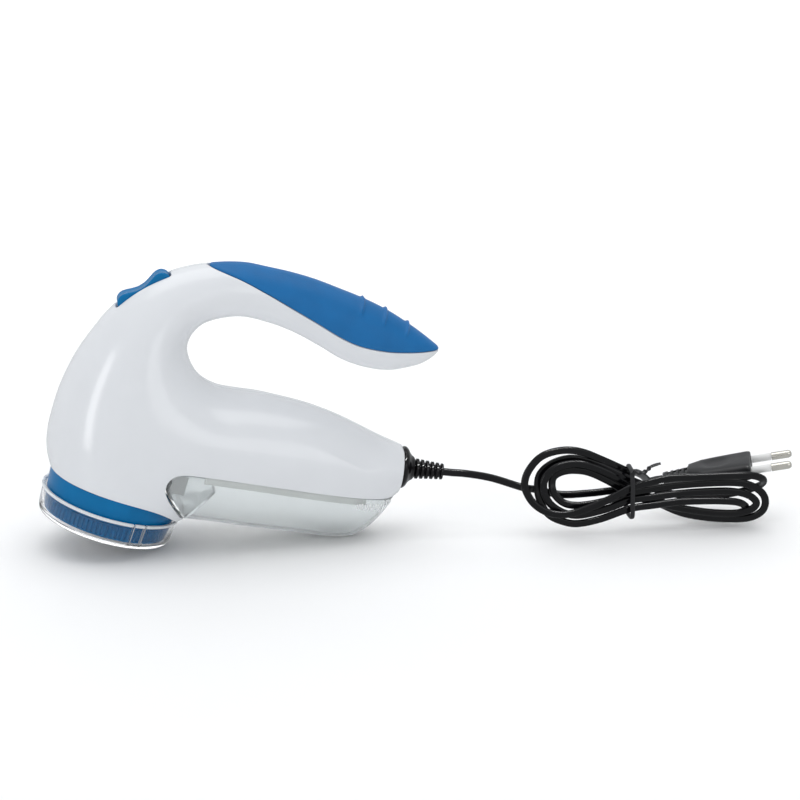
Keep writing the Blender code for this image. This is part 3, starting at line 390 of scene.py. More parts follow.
def node(tree, kind, **values):
    """New shader node; values name its properties or its input sockets."""
    n = tree.nodes.new(kind)
    for key, value in values.items():
        if hasattr(n, key):
            setattr(n, key, value)
        else:
            n.inputs[key.replace("_", " ")].default_value = value
    return n


def surface_look(name, colour, rough, spread=0.06, tint=0.03, cloud=60.0, grain=2500.0,
                 bump=0.03, metallic=0.0, **sockets):
    """Moulded or metal surface: clouded colour, uneven polish and a fine grain."""
    mat = bpy.data.materials.new(name)
    mat.use_nodes = True
    tree = mat.node_tree
    bsdf = tree.nodes["Principled BSDF"]
    coords = node(tree, "ShaderNodeTexCoord")
    broad = node(tree, "ShaderNodeTexNoise", Scale=cloud, Detail=4.0)
    fine = node(tree, "ShaderNodeTexNoise", Scale=grain, Detail=3.0)
    ramp = node(tree, "ShaderNodeValToRGB")
    ramp.color_ramp.elements[0].position = 0.3
    ramp.color_ramp.elements[1].position = 0.7
    ramp.color_ramp.elements[0].color = (*[c * (1 - tint) for c in colour], 1)
    ramp.color_ramp.elements[1].color = (*[min(1, c * (1 + tint)) for c in colour], 1)
    span = node(tree, "ShaderNodeMapRange", To_Min=max(0.0, rough - spread),
                To_Max=min(1.0, rough + spread), From_Min=0.3, From_Max=0.7)
    lift = node(tree, "ShaderNodeBump", Strength=bump, Distance=0.0001)
    link = tree.links.new
    link(coords.outputs["Object"], broad.inputs["Vector"])
    link(coords.outputs["Object"], fine.inputs["Vector"])
    link(broad.outputs["Fac"], ramp.inputs["Fac"])
    link(ramp.outputs["Color"], bsdf.inputs["Base Color"])
    link(broad.outputs["Fac"], span.inputs["Value"])
    link(span.outputs["Result"], bsdf.inputs["Roughness"])
    link(fine.outputs["Fac"], lift.inputs["Height"])
    link(lift.outputs["Normal"], bsdf.inputs["Normal"])
    bsdf.inputs["Metallic"].default_value = metallic
    for key, value in sockets.items():
        bsdf.inputs[key.replace("_", " ")].default_value = value
    mat.diffuse_color = (*colour, 1)
    return mat


def pebble_look(name, colour, rough):
    """Soft-touch skin with a close pebbled grain."""
    mat = surface_look(name, colour, rough, 0.05, 0.06, 90.0, 2500.0, 0.0)
    tree = mat.node_tree
    bsdf = tree.nodes["Principled BSDF"]
    coords = found(tree, "TEX_COORD")
    cells = node(tree, "ShaderNodeTexVoronoi", Scale=1250.0, Randomness=1.0)
    lift = found(tree, "BUMP")
    lift.inputs["Strength"].default_value = 0.5
    lift.inputs["Distance"].default_value = 0.00012
    lift.invert = True
    tree.links.new(coords.outputs["Object"], cells.inputs["Vector"])
    tree.links.new(cells.outputs["Distance"], lift.inputs["Height"])
    bsdf.inputs["Specular IOR Level"].default_value = 0.25
    return mat


def foil_look(name):
    """Thin steel foil whose close rows of holes are painted near-black, as painted shade rather
    than cut openings.
    """
    mat = surface_look(name, (0.66, 0.67, 0.69), 0.24, 0.05, 0.03, 120.0, 3000.0, 0.02, 1.0)
    tree = mat.node_tree
    bsdf = tree.nodes["Principled BSDF"]
    coords = found(tree, "TEX_COORD")
    cells = node(tree, "ShaderNodeTexVoronoi", Scale=620.0, Randomness=0.12)
    # The cell distances mark the holes, which are painted near-black as painted shade for the dark
    # seen through the foil.
    hole = node(tree, "ShaderNodeMapRange", From_Min=0.26, From_Max=0.32)
    painted_hole_shade_mix = node(tree, "ShaderNodeMix", data_type="RGBA")
    painted_hole_shade_mix.inputs["A"].default_value = (0.01, 0.01, 0.011, 1)
    ramp = found(tree, "VALTORGB")
    tree.links.new(coords.outputs["Object"], cells.inputs["Vector"])
    tree.links.new(cells.outputs["Distance"], hole.inputs["Value"])
    tree.links.new(hole.outputs["Result"], painted_hole_shade_mix.inputs["Factor"])
    tree.links.new(ramp.outputs["Color"], painted_hole_shade_mix.inputs["B"])
    tree.links.new(painted_hole_shade_mix.outputs["Result"], bsdf.inputs["Base Color"])
    return mat


WHITE = surface_look("white_gloss", (0.735, 0.75, 0.775), 0.19, 0.03, 0.012, 45.0, 1500.0, 0.02,
                     Coat_Weight=0.3, Coat_Roughness=0.08)
BLUE = surface_look("blue_gloss", (0.0, 0.145, 0.36), 0.24, 0.05, 0.06, 70.0, 2200.0, 0.03,
                    Specular_IOR_Level=0.2)
BLUE_SOFT = pebble_look("blue_soft_touch", (0.006, 0.135, 0.37), 0.46)
CLEAR = surface_look("clear_plastic", (0.93, 0.955, 0.96), 0.05, 0.02, 0.01, 50.0, 1800.0, 0.015,
                     Transmission_Weight=0.84, IOR=1.25)
CAP_CLEAR = surface_look("cap_clear", (0.98, 0.985, 0.99), 0.03, 0.015, 0.01, 50.0, 1800.0, 0.01,
                         Transmission_Weight=1.0, IOR=1.3)
FROST = surface_look("frosted_edge", (0.93, 0.94, 0.95), 0.35, 0.05, 0.01, 80.0, 1800.0, 0.03,
                     Transmission_Weight=0.35, IOR=1.35)
CREAM = surface_look("cream_plastic", (0.88, 0.88, 0.84), 0.4, 0.05, 0.03, 60.0, 2200.0, 0.03)
RUBBER = surface_look("black_cord", (0.0015, 0.0015, 0.002), 0.14, 0.04, 0.2, 120.0, 2600.0, 0.03,
                      Specular_IOR_Level=0.28)
BLACK = surface_look("black_plastic", (0.007, 0.007, 0.008), 0.4, 0.08, 0.15, 90.0, 3200.0, 0.15,
                     Specular_IOR_Level=0.4)
STEEL = surface_look("steel", (0.62, 0.63, 0.65), 0.26, 0.07, 0.05, 300.0, 3000.0, 0.05, 1.0)
NICKEL = surface_look("nickel_plate", (0.66, 0.64, 0.58), 0.2, 0.05, 0.05, 200.0, 2500.0, 0.03,
                      1.0)
COPPER = surface_look("copper", (0.60, 0.28, 0.12), 0.35, 0.08, 0.1, 400.0, 2500.0, 0.1, 1.0)
MAGNET = surface_look("ferrite", (0.09, 0.085, 0.08), 0.7, 0.08, 0.15, 300.0, 2500.0, 0.3)
BOARD = surface_look("board_green", (0.02, 0.16, 0.07), 0.45, 0.08, 0.15, 250.0, 2500.0, 0.1)
SLEEVE = surface_look("white_sleeve", (0.74, 0.74, 0.73), 0.42, 0.05, 0.02, 90.0, 2500.0, 0.05)
RED = surface_look("red_coating", (0.45, 0.06, 0.04), 0.35, 0.06, 0.1, 150.0, 2500.0, 0.05)
GREY_BLUE = surface_look("resistor_coating", (0.30, 0.42, 0.50), 0.45, 0.06, 0.1, 150.0, 2500.0,
                         0.05)
WIRE_BLUE = surface_look("blue_wire", (0.03, 0.14, 0.5), 0.4, 0.06, 0.08, 150.0, 2500.0, 0.05)
WIRE_RED = surface_look("red_wire", (0.5, 0.03, 0.03), 0.4, 0.06, 0.08, 150.0, 2500.0, 0.05)
FOIL = foil_look("perforated_foil")

# Each look with the beginnings of the CAD nodes' names that wear it.
CAD_LOOKS = [
    (CREAM, "body_floor"), (MAGNET, "motor_magnet"), (RED, "film_capacitor"),
    (BOARD, "circuit_board"), (GREY_BLUE, "dropper_resistor"), (WIRE_RED, "motor_lead"),
    (WIRE_BLUE, "supply_lead"), (COPPER, "armature", "commutator"),
    (NICKEL, "motor_bearing", "motor_terminal", "switch_terminal"),
    (BLACK, "cord_clamp", "motor_end_cap", "cutter_hub", "switch_housing", "bridge_rectifier"),
    (STEEL, "clamp_screw", "shell_screw", "motor_can", "motor_shaft", "cutter_blade"),
    (SLEEVE, "motor_mount", "fan_housing", "lint_duct", "suction_fan"),
]


def dress_cad_nodes():
    """Looks for the inner pieces that stay as the CAD model made them."""
    for name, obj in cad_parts.items():
        look = next((row[0] for row in CAD_LOOKS if name.startswith(row[1:])), None)
        if look is not None:
            obj.data.materials.clear()
            obj.data.materials.append(look)


# ---- body skins ---------------------------------------------------------------------------
def edge_height(angle):
    """Height of the white shell's lower edge round the head; angle 0 faces the tail."""
    return 23.2 - 9.2 * ((1 + math.cos(angle)) / 2) ** 8


HEAD_EDGE = np.array([head_point(HEAD_R * math.cos(a), edge_height(a))
                      for a in np.radians(np.arange(8, 181, 3))])
BOX_EDGE = resample(spline(BOX_LINE, 12), 0.8)
GRIP_EDGE = resample(spline(GRIP_LINE, 12), 0.8)
PITCH = math.radians(TAIL_PITCH)
TAIL_OUT = np.array([math.sin(PITCH), math.cos(PITCH)])      # out of the tail, in side view
TAIL_DOWN = np.array([TAIL_OUT[1], -TAIL_OUT[0]])            # down its end plane
SHELL_WALL, GRIP_WALL, BOX_WALL = 1.9, 1.8, 1.7


def past_tail(points):
    """Distance beyond the tail's end plane; the handle above it doesn't count."""
    ahead = -9.0
    return np.where(points[:, 1] < HANDLE_FLOOR, (points - np.array(TAIL_POINT)) @ TAIL_OUT, ahead)


def tail_crossing(line, k):
    """Where the span from k-1 to k of a line meets the tail's end plane."""
    a, b = past_tail(line[k - 1:k + 1])
    return line[k - 1] + (line[k] - line[k - 1]) * a / (a - b)


def held(line):
    """Part of an open line that lies inside the body and ahead of the tail's end."""
    ok = np.where(inside(GIRTH_LOOP, line) & (past_tail(line) < 0))[0]
    return line[ok[0]:ok[-1] + 1]


GRIP_IN = held(shifted(GRIP_EDGE, 0.05))
GRIP_START, GRIP_END = nearest(O, GRIP_IN[0]), nearest(O, GRIP_IN[-1])
PAST = np.where(past_tail(O) > 0)[0]
TAIL_TOP, TAIL_LOW = PAST[0], PAST[-1] + 1
BOX_IN = held(shifted(BOX_EDGE, -0.16))
BOX_OUT = held(shifted(BOX_EDGE, 0.16))


def cut_at_tail(line):
    """The line lengthened to the tail's end plane."""
    last = line[-1]
    step = line[-1] - line[-2]
    return np.vstack([line, last - step * past_tail(last[None])[0] / (step @ TAIL_OUT)])


ROCKER_ALONG = np.array([math.cos(math.radians(-ROCKER_PITCH)),
                         math.sin(math.radians(-ROCKER_PITCH))])
ROCKER_OUT = np.array([-ROCKER_ALONG[1], ROCKER_ALONG[0]])


def opening_line(half_length, half_width, corner):
    """Side-view line of a rounded opening cut square to the rocker."""
    straight = half_width - corner
    ends = [(-half_length, y) for y in np.linspace(0.02, straight, 9)]
    ends += [(-half_length + corner * (1 - math.cos(a)), straight + corner * math.sin(a))
             for a in np.radians(np.arange(15, 91, 15))]
    flat = [(s, half_width) for s in np.linspace(-half_length + corner, half_length - corner, 40)]
    plan = np.array(ends + flat[1:-1] + [(-s, y) for s, y in reversed(ends)])
    base = np.array([ROCKER_PIVOT[0], ROCKER_PIVOT[2]]) + plan[:, :1] * ROCKER_ALONG
    out, low = np.full(len(plan), 16.0), np.full(len(plan), -9.0)
    for _ in range(26):
        mid = (out + low) / 2
        h = surface(base + mid[:, None] * ROCKER_OUT)[0]
        deep = h > plan[:, 1]
        low, out = np.where(deep, mid, low), np.where(deep, out, mid)
    return base + low[:, None] * ROCKER_OUT


def skin_points(loop, soft, fillet, extra=None, lift=None, detail=None, holes=()):
    """Outer surface of a body skin on the +Y side.

    Gives side-view points, faces, positions, normals and half widths. The edges that soft
    lists are rounded by fillet; extra reshapes the surface and lift raises it.
    """
    pts, faces = triangulated(loop, FINE, SKIN_RINGS, detail, holes)
    h, n = surface(pts)
    if extra is not None:
        h, n = extra(pts, h, n)
    pos = np.column_stack([pts[:, 0], h, pts[:, 1]])
    drop = np.zeros(len(pts))
    for line in soft:
        t = np.clip(fillet - clearance(line, pts, closed=False), 0, fillet)
        drop = np.maximum(drop, fillet - np.sqrt(np.maximum(fillet ** 2 - t ** 2, 0)))
    if lift is not None:
        drop = drop - lift(pts)
    return pts, faces, pos - n * drop[:, None], n, h


SHOULDER = spline([(20.5, 57.6), (30.1, 54.3), (47.4, 45.8), (58, 39.6), (63.5, 37.9),
                   (69.8, 39.2), (77.5, 44.2), (80, 46.5)], 8)


def shoulder(pts):
    """Step above the crease line that runs down the rear of the body to the tail."""
    near = [nearest(SHOULDER, p) for p in pts]
    above = ((pts - SHOULDER[near]) * left_normals(SHOULDER)[near]).sum(1)
    fade = np.clip((pts[:, 0] - 22) / 26, 0, 1) ** 1.5 * np.clip((60 - pts[:, 1]) / 12, 0, 1)
    fade = fade * np.clip((clearance(O, pts) - 1.0) / 8, 0, 1)
    return -1.1 * fade * (1 - np.exp(-np.maximum(above, 0) / 2.6))


def half_shell(name, node_name, side):
    """One white half of the housing, with its end plate round the cord's strain relief."""
    notch = opening_line(*ROCKER_OPENING)
    a, b = nearest(O, notch[0]), nearest(O, notch[-1])
    grip = held(shifted(GRIP_EDGE, -0.22))
    top = tail_crossing(O, TAIL_TOP)
    rail = cut_at_tail(BOX_OUT)
    low = rail[-1]
    under = np.array([O[-1], head_point(33.9, 11.9), head_point(33.9, 13.4)])
    loop = np.vstack([
        resample(O[:a], 1.3), notch, resample(O[b + 1:nearest(O, grip[0])], 1.3), grip,
        resample(O[nearest(O, grip[-1]) + 1:TAIL_TOP], 1.3), top,
        resample(np.array([top, low]), 1.0)[1:-1], rail[::-1], under, HEAD_EDGE])
    soft = [notch, grip, rail[:-1], HEAD_EDGE, np.array([top, low])]
    holes = [(x, z, SCREW_HOLE) for x, z in SCREWS] if side > 0 else []
    pts, faces, pos, n, h = skin_points(loop, soft, 0.42, lift=shoulder, holes=holes)
    seam = h < SEAM_BEVEL
    pos[:, 1] = np.maximum(pos[:, 1], SEAM)
    pos[seam] -= n[seam] * (0.14 * (1 - h[seam] / SEAM_BEVEL) ** 2)[:, None] * [1, 0, 1]
    inner = pos - n * SHELL_WALL
    inner[:, 1] = np.maximum(inner[:, 1], SEAM)
    count = len(pts)
    verts = [list(v) for v in pos] + [list(v) for v in inner]
    solid = [list(f) for f in faces] + [[count + i for i in f[::-1]] for f in faces]
    ring = {}
    for i in np.where(np.abs(past_tail(pts)) < 1e-3)[0]:
        flat = np.array([(pts[i] - np.array(TAIL_POINT)) @ TAIL_DOWN, pos[i, 1]])
        flat = flat / np.linalg.norm(flat) * TAIL_HOLE
        spot = np.array(TAIL_POINT) + TAIL_DOWN * flat[0]
        ring[i] = len(verts)
        verts.append([spot[0], max(flat[1], SEAM), spot[1]])
        spot = spot - TAIL_OUT * SHELL_WALL
        verts.append([spot[0], max(flat[1], SEAM), spot[1]])
    rim = boundary(faces)
    for p, q in rim:
        if p in ring and q in ring:
            r, t = ring[p], ring[q]
            solid += [[q, p, r, t], [t, r, r + 1, t + 1], [t + 1, r + 1, count + p, count + q]]
        else:
            solid.append([q, p, count + p, count + q])
    for i in ring:
        if any(i in e and not (e[0] in ring and e[1] in ring) for e in rim):
            solid.append([i, ring[i], ring[i] + 1, count + i])
    verts = np.array(verts) * [1, side, 1]
    add_mesh(name, verts, solid, WHITE, "housing", node_name, sharp=50)
    for k, (x, z, radius) in enumerate(holes):
        make_screw_well(f"screw_well_{k + 1}", node_name, x, z, radius)


def make_screw_well(name, node_name, x, z, radius):
    """Cup below a hole of the shell, with a smaller hole for the screw in its floor."""
    top = float(surface(np.array([[x, z]]))[0][0])
    cup = [(1.4, top - 7.4), (4.3, top - 7.4), (4.3, top - 1.6), (radius, top - 1.2),
           (radius, top - 6.0), (1.4, top - 6.0)]
    place = frame_at((x, 0, z)) @ Matrix.Rotation(-math.pi / 2, 4, "X")
    add_mesh(name, *lathe(rounded(cup, 0.15), 40), WHITE, "housing", node_name, place)


def two_sided(name, node_name, mat, body, loop, soft, wall, strip=None, floor=None, **more):
    """Skin that runs over both sides of the body, welded along the middle.

    strip is a line on the boundary along which a flat wall joins the two sides.
    """
    pts, faces, pos, n, h = skin_points(loop, soft, **more)
    seam = h < WELD
    pos[seam, 1] = 0
    inner = pos - n * wall
    inner[:, 1] = np.where(seam, 0, np.maximum(inner[:, 1], 0.02))
    if floor is not None:
        pos[:, 2] = np.maximum(pos[:, 2], floor)
        inner[:, 2] = np.maximum(inner[:, 2], floor + wall)
    count = len(pts)
    flip = [1, -1, 1]
    verts = np.vstack([pos, inner, pos * flip, inner * flip])

    def at(block, i):
        return i + count * (block - 2 if block >= 2 and seam[i] else block)

    solid = []
    for block, back in ((0, False), (1, True), (2, True), (3, False)):
        for f in faces:
            g = [at(block, i) for i in f]
            solid.append(g[::-1] if back else g)
    on_strip = np.zeros(count, bool)
    if strip is not None:
        on_strip = clearance(strip, pts, closed=False) < 1e-3
    rim_count = {}
    for p, q in boundary(faces):
        if seam[p] and seam[q]:
            continue
        if on_strip[p] and on_strip[q]:
            for block in (0, 1):
                g = [at(block, q), at(block, p), at(block + 2, p), at(block + 2, q)]
                solid.append(list(dict.fromkeys(g)))
            for i in (p, q):
                rim_count[i] = rim_count.get(i, 0) + 1
            continue
        solid.append([at(0, q), at(0, p), at(1, p), at(1, q)])
        solid.append([at(2, p), at(2, q), at(3, q), at(3, p)])
    for i, times in rim_count.items():
        if times == 1 and not seam[i]:
            solid.append([at(0, i), at(2, i), at(3, i), at(1, i)])
    add_mesh(name, verts, solid, mat, body, node_name, sharp=50)


GRIP_RIBS = [((61.6, 122.6), (58.6, 114.6)), ((72.8, 116.8), (69.8, 109.2)),
             ((83.7, 109.4), (81.0, 103.0))]


def make_grip():
    """Blue soft-touch grip over the handle, with three cross ribs near its tip."""
    rim = GRIP_IN[::-1]
    loop = np.vstack([resample(O[GRIP_START:GRIP_END + 1], 1.2), rim])
    ribs = []
    for top, low in np.array(GRIP_RIBS):
        length = np.linalg.norm(low - top)
        axis = (low - top) / length
        ribs.append((top, axis, np.array([-axis[1], axis[0]]), length))

    def lift(pts):
        out = np.zeros(len(pts))
        for top, axis, cross, length in ribs:
            off = (pts - top) @ cross
            fade = np.clip((length - (pts - top) @ axis) / 3.0, 0, 1) ** 0.5
            out = np.maximum(out, 1.1 * np.exp(-(off / 0.65) ** 2) * fade)
        return out

    detail = [top + axis * t + cross * off for top, axis, cross, length in ribs
              for off in (-1.5, -0.9, -0.45, 0, 0.45, 0.9, 1.5)
              for t in np.arange(-2, length + 1, 0.8)]
    two_sided("handle_grip_skin", "handle_grip", BLUE_SOFT, "housing", loop, [rim], GRIP_WALL,
              fillet=0.6, lift=lift, detail=np.array(detail))


NOSE_TOP = (-37.6, 40.4)


def make_box():
    """Clear lint box with a flat rounded nose, a ramp behind it and finger ribs."""
    rail = cut_at_tail(BOX_IN)
    nose = BOX_IN[:nearest(BOX_IN, NOSE_TOP) + 1]
    low = rail[-1]
    base = tail_crossing(O, TAIL_LOW)
    exit_at = nearest(O, BOX_IN[0])
    loop = np.vstack([rail, resample(np.array([low, base]), 0.8)[1:],
                      resample(O[TAIL_LOW:exit_at + 1], 1.2)])
    corner = 2.6

    def rounded_nose(pts, h, n):
        s = np.clip(corner - clearance(nose, pts, closed=False), 0, corner)
        sin = s / corner
        cos = np.sqrt(1 - sin ** 2)
        out = left_normals(nose)[[nearest(nose, p) for p in pts]]
        room = np.minimum(1.0, h / (2 * corner))
        turned = n * cos[:, None] + np.column_stack([out[:, 0], 0 * h, out[:, 1]]) * sin[:, None]
        turned /= np.maximum(np.linalg.norm(turned, axis=1), 1e-9)[:, None]
        return h - corner * (1 - cos) * room, turned

    two_sided("lint_box_clear", "lint_box", CLEAR, "box", loop, [rail[len(nose):]], BOX_WALL,
              strip=nose, floor=0.03, extra=rounded_nose, fillet=0.4)
    ramp = np.array([(-30.6, 17.6), (-15.8, 34.0), (-14.7, 33.0), (-29.5, 16.5)])
    edge = resample(np.vstack([ramp, ramp[:1]]), 0.7)[:-1]
    pts, faces = triangulated(edge, 2.5, (0.25,))
    half = surface(pts)[0] - BOX_WALL - 0.05
    verts = np.vstack([np.column_stack([pts[:, 0], side * half, pts[:, 1]])
                       for side in (1, -1)])
    add_mesh("lint_box_ramp", verts, plate_faces(faces, len(pts)), CLEAR, "box", "lint_box")
    make_box_ribs(rail)


def make_box_ribs(rail):
    """Short moulded finger ribs on both sides of the box, close to its rear end."""
    row = resample(rail, 1.4)
    row = row[(row[:, 0] > 55) & (row[:, 0] < 74)] + [0.4, -4.4]
    depth, normal = surface(row)
    verts, faces = [], []
    for side in (1, -1):
        for k, (x, z) in enumerate(row):
            n = normal[k] * [1, side, 1]
            down = np.array([0.25, 0, -1.0])
            down -= n * down.dot(n)
            down /= np.linalg.norm(down)
            across = np.cross(down, n)
            base = len(verts)
            for u in np.linspace(-1, 1, 9):
                for v in np.linspace(-1, 1, 7):
                    rise = 0.4 * (1 - u ** 4) * (1 - v * v) - 0.04
                    verts.append(np.array([x, side * depth[k], z]) + n * rise
                                 + down * u * (1.5 + 0.35 * (k % 3)) + across * v * 0.46)
            faces += [[base + 7 * i + j, base + 7 * i + j + 1, base + 7 * i + j + 8,
                       base + 7 * i + j + 7] for i in range(8) for j in range(6)]
    add_mesh("lint_box_finger_ribs", verts, faces, FROST, "box", "lint_box")


def make_seal():
    """Pale strip on the inside of the box, along its upper edge."""
    inset, thick = 2.3, 1.1
    line = held(shifted(BOX_EDGE, -1.0))
    line = line[(line[:, 0] > -20) & (line[:, 1] > 17) & (line[:, 0] < 62)]
    low = line + [-0.6, -3.2]
    loop = np.vstack([line, resample(np.array([line[-1], low[-1]]), 1.0)[1:], low[::-1],
                      resample(np.array([low[0], line[0]]), 1.0)[1:-1]])
    pts, faces = triangulated(loop, 2.0, (0.15, 0.5))
    h, n = surface(pts)
    keep = np.column_stack([pts[:, 0], h, pts[:, 1]]) - n * inset
    deep = keep - n * thick
    count = len(pts)
    verts = np.vstack([keep, deep, keep * [1, -1, 1], deep * [1, -1, 1]])
    solid = plate_faces(faces, count) + plate_faces(faces, count, 2 * count)
    add_mesh("box_seal_strip", verts, solid, CREAM, "box", "box_seal")


# ---- head pieces --------------------------------------------------------------------------
SEG = 180              # sides of the round head pieces


def make_collar():
    """Blue neck between the shell and the foil ring; its top follows the shell's edge."""
    def height(r, h, a):
        return edge_height(a) - 0.3 if h > 20 else h

    prof = rounded([(27.4, 6.2), (28.5, 6.2), (28.5, 11.0), (32.3, 11.0), (32.5, 12.6),
                    (33.1, 25.0), (31.0, 25.0), (31.0, 12.8), (27.4, 12.8)], 0.35)
    add_mesh("neck_collar_blue", *lathe(prof, SEG, height=height), BLUE, "housing",
             "neck_collar", HEAD_FRAME)


CAP_PROFILE = [(0, 0), (31.2, 0, .8), (33.2, 0.9, 1.2), (33.8, 3.4, .5), (34.35, 12.0, .4),
               (35.0, 12.5, .2), (35.0, 13.75, .25), (33.6, 13.75, .25), (33.25, 12.6, .3),
               (32.4, 3.4, .5), (31.0, 1.9, 1.2), (0, 1.9)]


def make_cap():
    """Clear cap with a bright turned rim; pairs of slots free three snap tabs."""
    cap = add_mesh("protective_cap_clear", *lathe(rounded(CAP_PROFILE, 0.3, 2), SEG), CAP_CLEAR,
                   "cap", "protective_cap", HEAD_FRAME, sharp=60)
    cutters = []
    for centre in (-66, 54, 174):
        for side in (-5.2, 5.2):
            bpy.ops.mesh.primitive_cube_add(size=1)
            cutter = bpy.context.active_object
            cutter.scale = (6 * MM, 1.1 * MM, 12.5 * MM)
            bpy.context.view_layer.update()
            turn = Matrix.Rotation(math.radians(centre + side), 4, "Z")
            shape = turn @ Matrix.Translation((34.5 * MM, 0, 9.0 * MM)) @ cutter.matrix_world
            cutter.matrix_world = HEAD_FRAME @ shape
            cutters.append(cutter)
    bpy.context.view_layer.update()
    for cutter in cutters:
        cut = cap.modifiers.new("slot", "BOOLEAN")
        cut.object = cutter
        cut.solver = "EXACT"
        bpy.context.view_layer.objects.active = cap
        bpy.ops.object.modifier_apply(modifier=cut.name)
        bpy.data.objects.remove(cutter, do_unlink=True)
    cap.data.materials.append(FROST)
    local = HEAD_FRAME.inverted()
    turn = local.to_3x3()
    for face in cap.data.polygons:
        at, out = local @ face.center, turn @ face.normal
        round_way = Vector((-at.y, at.x, 0)).normalized()
        slot_wall = at.to_2d().length > 30.5 * MM and abs(out.dot(round_way)) > 0.7
        if at.z > 12.3 * MM or slot_wall:
            face.material_index = 1


def make_foil_unit():
    """Knurled blue ring and the foil it holds, with the foil's holes painted as dark shade."""
    ribs = 84

    def ribbed(r, h, a):
        if r < 30.9 or not 4.0 < h < 10.0:
            return r
        off = abs((a * ribs / (2 * math.pi)) % 1.0 - 0.5)
        return r - (0.8 * (1 - (off * 2 / 0.55) ** 4) if off < 0.275 else 0.0)

    prof = [(26.4, 2.9), (30.6, 2.9), (31.3, 3.1), (31.5, 3.5), (31.5, 4.0), (31.5, 4.3),
            (31.5, 9.7), (31.5, 10.0), (31.5, 10.3), (31.1, 10.7), (28.8, 10.7), (28.8, 4.1),
            (26.4, 4.1)]
    ring = lathe(prof, ribs * (10), radius=ribbed)
    add_mesh("foil_ring_blue", *ring, BLUE, "foil_unit", "foil_ring", HEAD_FRAME)
    disc = lathe([(0, 4.4), (28.4, 4.4), (28.4, 4.75), (0, 4.75)], SEG)
    add_mesh("shaving_foil_disc", *disc, FOIL, "foil_unit", "shaving_foil", HEAD_FRAME)


def make_rocker():
    """Saddle-shaped rocker, dished along its length, with bright raised edges."""
    half = [(0, 4.4), (2, 4.5), (4, 5.0), (6, 5.65), (8, 6.3), (9.6, 6.6), (11, 6.5), (12.4, 6.0),
            (13.4, 5.2), (14.2, 3.9), (14.6, 2.2), (14.5, 0.4), (14.35, -1.6)]
    top = resample(np.array([(-x, z) for x, z in reversed(half)] + half[1:]), 0.5)
    verts, faces = [], []
    edge = [(4.75, 1.0), (4.68, 0.5), (4.45, 0.18), (4.05, 0.0), (3.4, 0.02), (2, 0.3)]
    across = [(-y, sink) for y, sink in edge] + [(0, 0.42)] + edge[::-1]
    rows = []
    for (x, z), nrm in zip(top, left_normals(top)):
        row = []
        for y, sink in across:
            row.append(len(verts))
            verts.append((x - nrm[0] * sink, y, z - nrm[1] * sink))
        rows.append(row)
    for r0, r1 in zip(rows, rows[1:]):
        for a, b, c, d in zip(r0, r0[1:], r1[1:], r1):
            faces.append([a, b, c, d])
    low = [len(verts) + k for k in range(4)]
    verts += [(-5, -4.7, -3.0), (-5, 4.7, -3.0), (5, 4.7, -3.0), (5, -4.7, -3.0)]
    faces.append(low)
    faces.append(rows[0] + [low[1], low[0]])
    faces.append(rows[-1][::-1] + [low[3], low[2]])
    faces.append([r[0] for r in rows] + [low[3], low[0]])
    faces.append([r[-1] for r in rows][::-1] + [low[1], low[2]])
    add_mesh("rocker_button_blue", verts, faces, BLUE, "rocker", "rocker_button",
             frame_at(ROCKER_PIVOT, ROCKER_PITCH), sharp=38)


# ---- cord and plug ------------------------------------------------------------------------
TAIL_FRAME = frame_at((TAIL_POINT[0], 0, TAIL_POINT[1]), TAIL_PITCH)
CORD_THICK, CORD_WIDE = 1.25, 1.9
